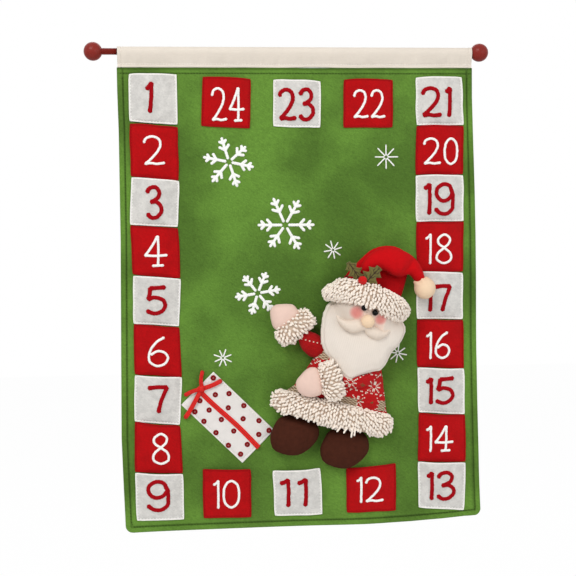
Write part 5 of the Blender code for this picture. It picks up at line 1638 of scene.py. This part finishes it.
def drawn_back(points):
    """Boots' points with those near the trim drawn back, so that the boots swing clear of it."""
    foot = np.interp(points[:, 0], [-0.033, -0.008, 0.045, 0.098, 0.119],
                     [-0.462, -0.473, -0.488, -0.500, -0.505])
    back = 1 - 0.42 * eased_step(np.clip((points[:, 2] - foot + 0.014) / 0.012, 0, 1))
    return np.stack([points[:, 0], FRONT + (points[:, 1] - FRONT) * back, points[:, 2]], axis=1)


def swung_boots():
    """Search trees of the two boots' surfaces at the far ends of their swings."""
    trees = []
    for node in ("boot_left", "boot_right"):
        hinge = next(joint for joint in frame["joints"] if joint["name"] == f"{node}_swing")
        made = from_nodes(f"{node}_swung", node, grow=0.0005)
        points, _ = mesh_arrays(made.data)
        turn = np.array(Matrix.Rotation(math.radians(hinge["range_deg"][1]), 3, Vector(hinge["axis"])))
        points = (drawn_back(points) - hinge["pos_m"]) @ turn.T + hinge["pos_m"]
        corners = [tuple(face.vertices) for face in made.data.polygons]
        trees.append(BVHTree.FromPolygons([tuple(p) for p in points], corners))
        bpy.data.objects.remove(made)
    return trees


def cuff_path(x, depth, z, turn, reach):
    """A cuff's middle line in millimetres: reach to both sides of its middle, turned, and a little arched."""
    t, angle = np.array([-1, -0.5, 0, 0.5, 1]), math.radians(turn)
    across, up = reach * t * math.cos(angle), reach * t * math.sin(angle)
    return np.stack([x + across, depth + 2 * (1 - t * t), z + up], axis=1)


def shaped_core(name, points, path):
    """A core's points fitted under its loops.

    The brim's left end is flattened and lowered, the trim's two ends are drawn in, and the cuffs are made
    smaller about their middles.
    """
    if name == "brim":
        left = np.clip((0.060 - points[:, 0]) / 0.020, 0, 1)
        points[:, 2] += (-0.3135 - points[:, 2]) * 0.42 * left - 0.0048 * left
    elif name == "trim":
        points[:, 0] += 0.0030 * (np.clip((-0.022 - points[:, 0]) / 0.012, 0, 1)
                                  - np.clip((points[:, 0] - 0.120) / 0.012, 0, 1))
    else:
        scale, drop = (0.90, 0.0) if name == "raised_cuff" else (0.83, 0.0014)
        middle = path.mean(axis=0)[[0, 2]]
        points[:, [0, 2]] = middle + (points[:, [0, 2]] - middle) * scale - [0, drop]
    return points


def clear_of_boots(places, normals, lies, stretch):
    """Which of the trim's loops stay: none that is sewn under it, and none that a swung boot would touch."""
    clear = (normals[:, 2] > -0.35) | (places[:, 1] < FRONT - 0.019)
    reach = unit(lies + 0.46 * normals) * (0.0070 * stretch)[:, None]
    for tree in swung_boots():
        for share in (0.0, 0.5, 1.0):
            tips = places + share * reach
            near = [tree.find_nearest(Vector(p)) for p in tips]
            clear &= np.array([(Vector(p) - at).dot(out) > 0.0020 for p, (at, out, _, _) in zip(tips, near)])
    return clear


def clear_of_face(places):
    """Which of the brim's loops stay: those that start above the line down to which the face shows."""
    x, z = places[:, 0], places[:, 2]
    foot = np.interp(x, [0.038, 0.045, 0.063, 0.076, 0.089, 0.105, 0.122, 0.134],
                     [-0.3150, -0.3240, -0.3246, -0.3294, -0.3335, -0.3395, -0.3470, -0.3540])
    return (z > foot + 0.0030) | (x < 0.074) | (x > 0.112)


def make_looped(seed, node, name, path, halves, flat, rows, pitch, fan, sign, fringe):
    """A looped piece: a core coloured darker as painted shade between the loops, and loops in rows over its
    front and at its two ends.

    fringe is how much longer the loops at its lower edge are, as a share.
    """
    path = np.array(path) * 0.001
    path[:, 1] = FRONT - path[:, 1]
    core = filled(from_nodes(f"{name}_core", node), "loop_backing_painted_shade", 0.0018, 4, 0)
    set_points(core.data, shaped_core(name, mesh_arrays(core.data)[0], path))
    *sides, edges = limb_places(path, halves, flat, rows, pitch, seed, fan, sign)
    ends = end_places(path, halves, flat, 20 + seed)
    places, normals, lies = (np.concatenate(pair) for pair in zip(sides, ends))
    stretch = np.concatenate([1 + fringe * edges**3, np.ones(len(ends[0]))])
    clear = np.full(len(places), True)
    if name == "trim":
        clear = clear_of_boots(places, normals, lies, stretch)
    elif name == "brim":
        clear = clear_of_face(places)
    lean = 0.46 if name == "brim" else 0.68
    pile(f"{name}_loops", core, places[clear], normals[clear], lies[clear], 90 + seed, stretch[clear], lean)
    settle(core, "banner", (node,))


def make_trim():
    """The coat's looped hem, the hat's looped brim and the two looped cuffs."""
    brim_halves = 0.0135 * np.array([0.42, 0.78, 0.95, 1, 1, 1, 0.95, 0.8])
    cuff_halves = 0.0116 * np.array([0.6, 0.95, 1, 1, 0.95, 0.6])
    raised, lowered = cuff_path(-0.4, 13.5, -362.4, 38.5, 24.5), cuff_path(42.8, 37.0, -430.543, -76.0, 23.2)
    trim_halves = 0.0145 * np.array([0.8, 1, 1, 1, 0.8])
    make_looped(0, "coat_trim", "trim", TRIM_PATH, trim_halves, 20 / 29, 12, 0.0034, 1.6, 1, 0.1)
    make_looped(1, "hat_brim", "brim", BRIM_PATH, brim_halves, 17 / 28, 12, 0.0034, 3.2, 1, 0.2)
    make_looped(2, "cuff_raised", "raised_cuff", raised, cuff_halves, 0.92, 9, 0.0035, 2.4, 1, 0.6)
    make_looped(3, "cuff_lowered", "lowered_cuff", lowered, cuff_halves * 0.88, 1.0, 9, 0.0035, 2.2, -1, 0.5)


def make_loose_threads():
    """A few threads that have come loose and hang over the trim's front."""
    feet = np.array([(56.0, -487.0), (61.0, -488.5), (68.0, -490.0), (74.0, -491.5), (77.5, -492.0)]) * 0.001
    tips = np.array([(45.5, -493.5), (51.5, -497.5), (60.5, -499.5), (70.5, -505.5), (74.5, -503.5)]) * 0.001
    parts = []
    for a, b in zip(feet, tips):
        line = np.linspace((a[0], FRONT - 0.0345, a[1]), (b[0], FRONT - 0.0410, b[1]), 14)
        points, faces, _ = chain_stroke(line, np.tile(FRONTWARD, (14, 1)), 0.0026, 0.0012)
        parts.append((points, faces))
    points, faces = join(parts)
    settle(make_mesh("trim_loose_threads", points, faces, finish("loop_yarn")), "banner", ())


def rim_shares(points, centre, lean, bins=180):
    """How far each point is from the outline, which is the farthest point in each direction, eased."""
    local = turned(points[:, [0, 2]] - np.array(centre)[[0, 2]], -lean)
    angle = np.arctan2(local[:, 1], local[:, 0])
    far = np.hypot(local[:, 0], local[:, 1])
    at = ((angle + math.pi) / (2 * math.pi) * bins).astype(int) % bins
    reach = np.zeros(bins)
    np.maximum.at(reach, at, far)
    for _ in range(3):
        reach = (np.roll(reach, 1) + 2 * reach + np.roll(reach, -1)) / 4
    edge = np.interp((angle + math.pi) / (2 * math.pi) * bins, np.arange(-1, bins + 1) + 0.5,
                     np.concatenate([reach[-1:], reach, reach[:1]]))
    return edge - far


def make_beard():
    """The pad of face and beard: flatter under the hat, soft inside, with a sewn rim and a recessed face.

    The rim is a bell-shaped groove 3 mm in from the outline, and a smaller bell-shaped roll outside it.
    """
    beard = from_nodes("face_and_beard", "beard", "head", grow=0.0005)
    beard = filled(beard, "beard_pile", 0.0019, 5, 3.0, 0.0012)
    points, edges = mesh_arrays(beard.data)
    sunk = np.clip((points[:, 2] + 0.325) / 0.020, 0, 1)
    points[:, 1] = FRONT + (points[:, 1] - FRONT) * (1 - 0.55 * eased_step(sunk))
    inward = rim_shares(points, BEARD_CENTRE, DOLL_LEAN)
    normal = np.empty(len(points) * 3)
    beard.data.vertices.foreach_get("normal", normal)
    normal = normal.reshape(-1, 3)
    soft = eased(points, edges, 150, 0.5, 0.0)
    local = turned(points[:, [0, 2]] - np.array(BEARD_CENTRE)[[0, 2]], -DOLL_LEAN)
    hold = np.clip((inward - 0.006) / 0.010, 0, 1) * np.clip((local[:, 1] + 0.012) / 0.02, 0, 1)
    hold *= points[:, 1] < FRONT - 0.012
    patch = np.clip((0.0215 - np.abs(local[:, 0])) / 0.002, 0, 1)
    patch *= np.clip((local[:, 1] - 0.012) / 0.004, 0, 1)
    points = points + hold[:, None] * (soft - points) + np.outer(patch * hold, [0, 0.0010, 0])
    facing = np.clip(-normal[:, 1], 0, 1)
    groove = -0.0009 * np.exp(-((inward - 0.0030) / 0.0009) ** 2)
    rolled = 0.0003 * np.exp(-((inward - 0.0012) / 0.0009) ** 2)
    set_points(beard.data, points + normal * ((groove + rolled) * facing)[:, None])
    add_uv(beard.data, np.stack([inward * 100, facing], axis=1))
    settle(beard, "banner", ("beard", "head"))


def make_face():
    """The moustache between its two edges, the nose and the bead eyes."""
    upper = [(53.0, -343.2), (58.5, -348.6), (68.9, -351.0), (79.5, -349.9), (87.0, -351.6), (93.5, -354.0),
             (100.4, -357.9), (107.0, -362.4), (114.9, -365.8), (125.6, -365.4)]
    lower = [(52.6, -344.8), (54.5, -353.3), (62.3, -362.6), (71.4, -368.0), (80.6, -367.2), (88.5, -365.1),
             (92.4, -371.8), (101.6, -377.2), (112.2, -376.8), (120.4, -372.2), (125.2, -366.8)]
    made = between("moustache_pad", upper, lower, (1.5, 6.5, 9.0, 8.0, 6.0, 8.0, 9.5, 7.0, 1.5),
                   (37, 39.5, 42.0, 43.0, 43.0, 42.5, 41.5, 38.5, 36.0), 90, 32)
    settle(filled(made, "moustache_pile", 0.0013, 3, 3.0, 0.0010), "banner", ("moustache",))
    settle(filled(from_nodes("nose_ball", "nose"), "peach_fleece", 0.0011, 5, 0), "banner", ("nose",))
    for node in ("eye_left", "eye_right"):
        low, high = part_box(node)
        middle, radius = (low + high) / 2, 0.0039
        centre = np.array([middle.x - 0.0013, low.y + 0.1 * radius, middle.z + 0.0003])
        points, faces = closed_tube(ball(radius, 36, 22) + centre)
        made = outward(make_mesh(node.replace("eye", "bead"), points, faces, finish("bead_gloss")))
        settle(made, "banner", (node,))


def holly(name, node, centre, lean, length, width, forward):
    """A leaf of holly cloth: its half width is an arch along its length, cut in between pointed lobes.

    Lobes stand at even steps, and between two of them the edge dips as a power of the distance to the nearer.
    """
    s = np.linspace(0, 1, 97)
    step = 0.27
    near = np.abs((s - 0.20 + step / 2) % step - step / 2) / (step / 2)
    lobes = 0.48 + 0.52 * (1 - near) ** 1.5
    half = width / 2 * np.sin(math.pi * np.clip(s * 0.93 + 0.04, 0, 1)) ** 0.5 * lobes
    half[[0, -1]] = 0.0004
    across = np.linspace(-1, 1, 17)
    long_way = (s - 0.5)[:, None] * length + 0 * across[None]
    side = half[:, None] * across[None] + 0.0012 * np.sin(3 * s)[:, None]
    rise = (0.0030 * (1 - (2 * s[:, None] - 1) ** 2) - 0.0022 * across[None] ** 2
            + 0.0010 * np.cos(9 * s)[:, None] * across[None])
    x, z = np.moveaxis(turned(np.stack([long_way, side], axis=-1), lean), -1, 0)
    y = FRONT - forward - rise
    front = np.stack([x + centre[0], y - 0.0005, z + centre[1]], axis=-1)
    back = np.stack([x + centre[0], y + 0.0005, z + centre[1]], axis=-1)
    uv = np.stack([s[:, None] + 0 * across[None], 0.5 + 0.5 * across[None] + 0 * s[:, None]], axis=-1)
    points, faces, uv, _ = shell(front, back, uv)
    made = settle(outward(make_mesh(name, points, faces, finish("holly_leaf"), uv)), "banner", (node,))
    2 * half.mean() * length


def make_bag():
    """The hat's bag, sunk towards its top."""
    bag = filled(from_nodes("hat_bag", "hat_crown"), "hat_fleece", 0.0022, 7, 3.0, 0.0010)
    points, _ = mesh_arrays(bag.data)
    sunk = np.clip((points[:, 2] + 0.322) / 0.030, 0, 1)
    points[:, 1] = FRONT + (points[:, 1] - FRONT) * (1 - 0.45 * eased_step(sunk))
    points[:, 0] -= 0.003 * np.clip((points[:, 0] - 0.135) / 0.02, 0, 1)
    set_points(bag.data, points)
    settle(bag, "banner", ("hat_crown",))


def make_roll():
    """The roll that folds over the bag and bends down to the bobble, pinched along a slanting crease.

    The crease is a bell-shaped dent round a short line, with waves of soft unevenness beside it.
    """
    upper = [(83.5, -300.0), (86.6, -283.0), (101.0, -265.0), (122.8, -257.2), (144.2, -262.2),
             (160.8, -272.0), (170.6, -286.0), (175.5, -301.5)]
    lower = [(93.0, -302.0), (99.2, -293.6), (107.1, -288.0), (115.1, -287.2), (121.7, -290.4),
             (129.7, -295.0), (139.1, -297.4), (147.1, -295.8), (152.5, -294.4), (156.5, -297.5),
             (160.5, -302.8), (165.2, -307.4)]
    made = between("hat_roll", upper, lower, (3, 8, 12, 14, 14, 13, 11, 9.5, 8.5),
                   (30, 29, 28, 28, 28, 26, 20, 18, 18), 90, 40, flat_back=0.9)
    made = filled(made, "hat_fleece", 0.0019, 3, 3.0, 0.0012)
    points, _ = mesh_arrays(made.data)
    x, z = points[:, 0], points[:, 2]
    share = np.clip(((x - 0.1400) * 0.69 + (z + 0.2955) * 0.72) / 0.029, 0, 1)
    off = np.hypot(x - 0.1400 - 0.0200 * share, z + 0.2955 - 0.0209 * share)
    pinch = np.exp(-(off / 0.0046) ** 2)
    creases = 0.0009 * waves(x, z, 61, 0.026) * np.clip((0.02 - np.abs(x - 0.150)) / 0.02, 0, 1)
    points[:, 1] += (0.0038 * pinch + creases) * (points[:, 1] < FRONT - 0.020)
    set_points(made.data, points)
    settle(made, None, ("hat_tip",))
    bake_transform(made)


def make_bobble():
    """The bobble, a little larger than its solid, with three gathers that are bell-shaped in the angle."""
    bobble = filled(from_nodes("bobble", "hat_pompom"), "peach_fleece", 0.0017, 5, 0)
    points, _ = mesh_arrays(bobble.data)
    out = points - np.array(BOBBLE)
    angle = np.degrees(np.arctan2(out[:, 2], out[:, 0]))
    gathers = sum(size * np.exp(-((angle - at) / 9) ** 2)
                  for at, size in ((150, 0.26), (114, 0.22), (82, 0.08)))
    flat = np.clip(1 - np.abs(out[:, 1]) / 0.011, 0, 1)
    set_points(bobble.data, points + out * (0.05 + gathers * flat)[:, None])
    settle(bobble, "hat_tip", ("hat_pompom",))


def make_holly():
    """Two leaves, the berry between them and a smaller, darker berry beside them."""
    holly("holly_left", "holly_leaf_left", (0.0772, -0.2905), 60.0, 0.0335, 0.0225, 0.0400)
    holly("holly_right", "holly_leaf_right", (0.0978, -0.2960), -47.0, 0.0350, 0.0265, 0.0475)
    berry = filled(from_nodes("berry", "holly_berry"), "berry_felt", 0.0009, 5, 0)
    points, _ = mesh_arrays(berry.data)
    set_points(berry.data, points + [0, -0.0135, 0.0010])
    settle(berry, "banner", ("holly_berry",))
    egg = ball([0.0030, 0.0026, 0.0030], 24, 14)
    points, faces = closed_tube(egg + np.array([0.0672, FRONT - 0.0330, -0.2962]))
    settle(outward(make_mesh("berry_small", points, faces, finish("dark_berry_felt"))), "banner", ())


# Outlines of the mittens in millimetres across and up
RAISED_MITTEN = [(-31.5, -342.0), (-28.8, -334.8), (-22.2, -331.0), (-10.3, -330.4), (-1.0, -331.4),
                 (4.2, -336.8), (7.6, -343.4), (4.0, -352.0), (-4.9, -359.6), (-15.3, -364.1),
                 (-25.2, -363.8), (-29.6, -355.2)]
LOWERED_MITTEN = [(-1.1, -433.9), (0.3, -428.1), (6.3, -421.0), (12.9, -414.7), (19.5, -411.8),
                  (27.4, -413.7), (33.2, -424.2), (35.1, -437.4), (32.3, -447.8), (18.7, -451.4),
                  (7.3, -448.4), (1.0, -441.9)]


def make_mittens():
    """Two mittens as crowned forms inside their outlines."""
    for name, node, outline, depth, middle in (("raised_mitten", "hand_raised", RAISED_MITTEN, 11.0, 13.5),
                                               ("lowered_mitten", "hand_lowered", LOWERED_MITTEN, 11.0, 37.0)):
        made = filled(pillow(name, outline, depth, middle), "mitten_fleece", 0.0017, 4, 3.0, 0.0010)
        settle(made, "banner", (node,))


def make_boots():
    """Two plush boots, drawn back near the trim so that they swing clear of its loops."""
    for node in ("boot_left", "boot_right"):
        made = filled(from_nodes(f"{node}_plush", node), "boot_plush", 0.0020, 6, 3.0, 0.0010)
        points, _ = mesh_arrays(made.data)
        set_points(made.data, drawn_back(points))
        settle(made, node, (node,))


# Floor, light and camera

def pale_floor():
    """A wide matt floor that the camera sees as near white."""
    floor = bpy.data.materials.new("pale_floor")
    floor.use_nodes = True
    floor.node_tree.nodes.clear()
    sheet = NodeSheet(floor.node_tree)
    matt = sheet.node("ShaderNodeBsdfDiffuse", values={"Color": (0.8, 0.8, 0.8, 1)})
    glow = sheet.node("ShaderNodeEmission", values={"Color": (1, 1, 1, 1), "Strength": 1.015})
    seen = sheet.node("ShaderNodeLightPath", output="Is Camera Ray")
    mix = sheet.node("ShaderNodeMixShader", values={0: seen * 0.95, 1: matt, 2: glow})
    sheet.node("ShaderNodeOutputMaterial", values={"Surface": mix})
    reach, level = 6.0, -1.2
    points = np.array([(-reach, -reach, level), (reach, -reach, level), (reach, reach, level),
                       (-reach, reach, level)])
    return make_mesh("floor", points, [np.array([[0, 1, 2, 3]])], floor)


def soft_lamps():
    """Three area lamps that look at the banner's middle."""
    lamps = []
    for name, place, size, watts in (("key", (-1.1, -1.9, 1.3), 1.3, 32.5),
                                     ("fill", (1.7, -2.1, 0.1), 2.0, 14.5),
                                     ("back", (0.4, 2.2, 1.2), 2.0, 16.0)):
        data = bpy.data.lights.new(name, "AREA")
        data.size, data.energy, data.color = size, watts, (1.0, 0.985, 0.965)
        lamp = bpy.data.objects.new(name, data)
        lamp.location = place
        lamp.rotation_euler = (Vector((0, 0, -0.3)) - Vector(place)).to_track_quat("-Z", "Y").to_euler()
        bpy.context.scene.collection.objects.link(lamp)
        lamps.append(lamp)
    return lamps


def plain_sky():
    """A soft sky that camera, glossy and transmission rays see as white."""
    world = bpy.data.worlds.new("plain_sky")
    bpy.context.scene.world = world
    world.use_nodes = True
    world.node_tree.nodes.clear()
    sheet = NodeSheet(world.node_tree)
    camera, glossy, through = (sheet.node("ShaderNodeLightPath", output=f"Is {kind} Ray")
                               for kind in ("Camera", "Glossy", "Transmission"))
    sky = sheet.node("ShaderNodeBackground", values={"Color": (0.97, 0.985, 1.0, 1), "Strength": 0.58})
    white = sheet.node("ShaderNodeBackground", values={"Color": (1, 1, 1, 1), "Strength": 1.0})
    mix = sheet.node("ShaderNodeMixShader", values={0: camera.most(glossy).most(through), 1: sky, 2: white})
    sheet.node("ShaderNodeOutputWorld", values={"Surface": mix})


def photo_camera():
    """The camera at the photograph's place: yaw, pitch and roll in degrees and its distance in metres."""
    yaw, pitch, roll = (math.radians(a) for a in (-5.741, 3.167, -0.698))
    distance, looked_at = 1.4886, Vector((-0.005576, 0, -0.310543))
    back = Vector((math.sin(yaw) * math.cos(pitch), -math.cos(yaw) * math.cos(pitch), math.sin(pitch)))
    right = (-back).cross(Vector((0, 0, 1))).normalized()
    up = right.cross(-back)
    turned_right = right * math.cos(roll) + up * math.sin(roll)
    turned_up = up * math.cos(roll) - right * math.sin(roll)
    data = bpy.data.cameras.new("photo_camera")
    data.lens, data.sensor_width = 70.0, 36.0
    camera = bpy.data.objects.new("photo_camera", data)
    axes = Matrix((turned_right, turned_up, back)).transposed().to_4x4()
    camera.matrix_world = Matrix.Translation(looked_at + back * distance) @ axes
    bpy.context.scene.collection.objects.link(camera)
    bpy.context.scene.camera = camera


def make_stage():
    """A pale floor, soft lamps, a plain sky and the camera at the photograph's place."""
    pale_floor()
    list(soft_lamps())
    plain_sky()
    photo_camera()
    bpy.context.scene.view_settings.view_transform = "Standard"


# Operators and panel

class CalendarStep:
    bl_options = {"REGISTER", "UNDO"}
    make = ()

    def execute(self, context):
        for step in self.make:
            step()
        return {"FINISHED"}


class CALENDAR_OT_rod(CalendarStep, Operator):
    """Make the rod with its balls, and the cotton sleeve over it"""
    bl_idname, bl_label = "calendar.rod", "Rod and sleeve"
    make = (make_dowel, make_balls, make_sleeve)


class CALENDAR_OT_banner(CalendarStep, Operator):
    """Make the green felt, its lining and the line of stitches round its hem"""
    bl_idname, bl_label = "calendar.banner", "Banner"
    make = (make_banner,)


class CALENDAR_OT_pockets(CalendarStep, Operator):
    """Make the twenty-four felt pockets and the numbers stitched on them"""
    bl_idname, bl_label = "calendar.pockets", "Pockets and numbers"
    make = (make_pockets, make_numbers)


class CALENDAR_OT_gift(CalendarStep, Operator):
    """Make the gift with its ribbon and bow, and the snowflakes"""
    bl_idname, bl_label = "calendar.gift", "Gift and snowflakes"
    make = (make_gift, make_ribbon, make_bow, make_dots, make_snowflakes)


class CALENDAR_OT_coat(CalendarStep, Operator):
    """Make the knitted coat, the mittens and the boots"""
    bl_idname, bl_label = "calendar.coat", "Coat, mittens and boots"
    make = (make_coat, make_mittens, make_boots)


class CALENDAR_OT_loops(CalendarStep, Operator):
    """Make the looped trim, brim and cuffs"""
    bl_idname, bl_label = "calendar.loops", "Looped trim"
    make = (make_trim, make_loose_threads)


class CALENDAR_OT_head(CalendarStep, Operator):
    """Make the head with its beard, and the hat with its bobble and holly"""
    bl_idname, bl_label = "calendar.head", "Head and hat"
    make = (make_beard, make_face, make_bag, make_roll, make_bobble, make_holly)


class CALENDAR_OT_stage(CalendarStep, Operator):
    """Make the floor, the lamps, the sky and the camera"""
    bl_idname, bl_label = "calendar.stage", "Stage"
    make = (make_stage,)


OPERATORS = (CALENDAR_OT_rod, CALENDAR_OT_banner, CALENDAR_OT_pockets, CALENDAR_OT_gift, CALENDAR_OT_coat,
             CALENDAR_OT_loops, CALENDAR_OT_head, CALENDAR_OT_stage)


class CALENDAR_PT_panel(Panel):
    """Sizes, colours and the steps that make the calendar"""
    bl_idname, bl_label = "CALENDAR_PT_panel", "Advent calendar"
    bl_space_type, bl_region_type, bl_category = "VIEW_3D", "UI", "Calendar"

    def draw(self, context):
        for group in (context.scene.calendar_cloth, context.scene.calendar_figure):
            column = self.layout.column(align=True)
            for name in group.__annotations__:
                column.prop(group, name)
        for operator in OPERATORS:
            self.layout.operator(operator.bl_idname)


CLASSES = (CalendarCloth, CalendarFigure, *OPERATORS, CALENDAR_PT_panel)


def register():
    for kind in CLASSES:
        bpy.utils.register_class(kind)
    bpy.types.Scene.calendar_cloth = PointerProperty(type=CalendarCloth)
    bpy.types.Scene.calendar_figure = PointerProperty(type=CalendarFigure)


def unregister():
    del bpy.types.Scene.calendar_figure, bpy.types.Scene.calendar_cloth
    for kind in reversed(CLASSES):
        bpy.utils.unregister_class(kind)


def main():
    register()
    for operator in OPERATORS:
        group, name = operator.bl_idname.split(".")
        getattr(getattr(bpy.ops, group), name)()


if __name__ == "__main__":
    main()
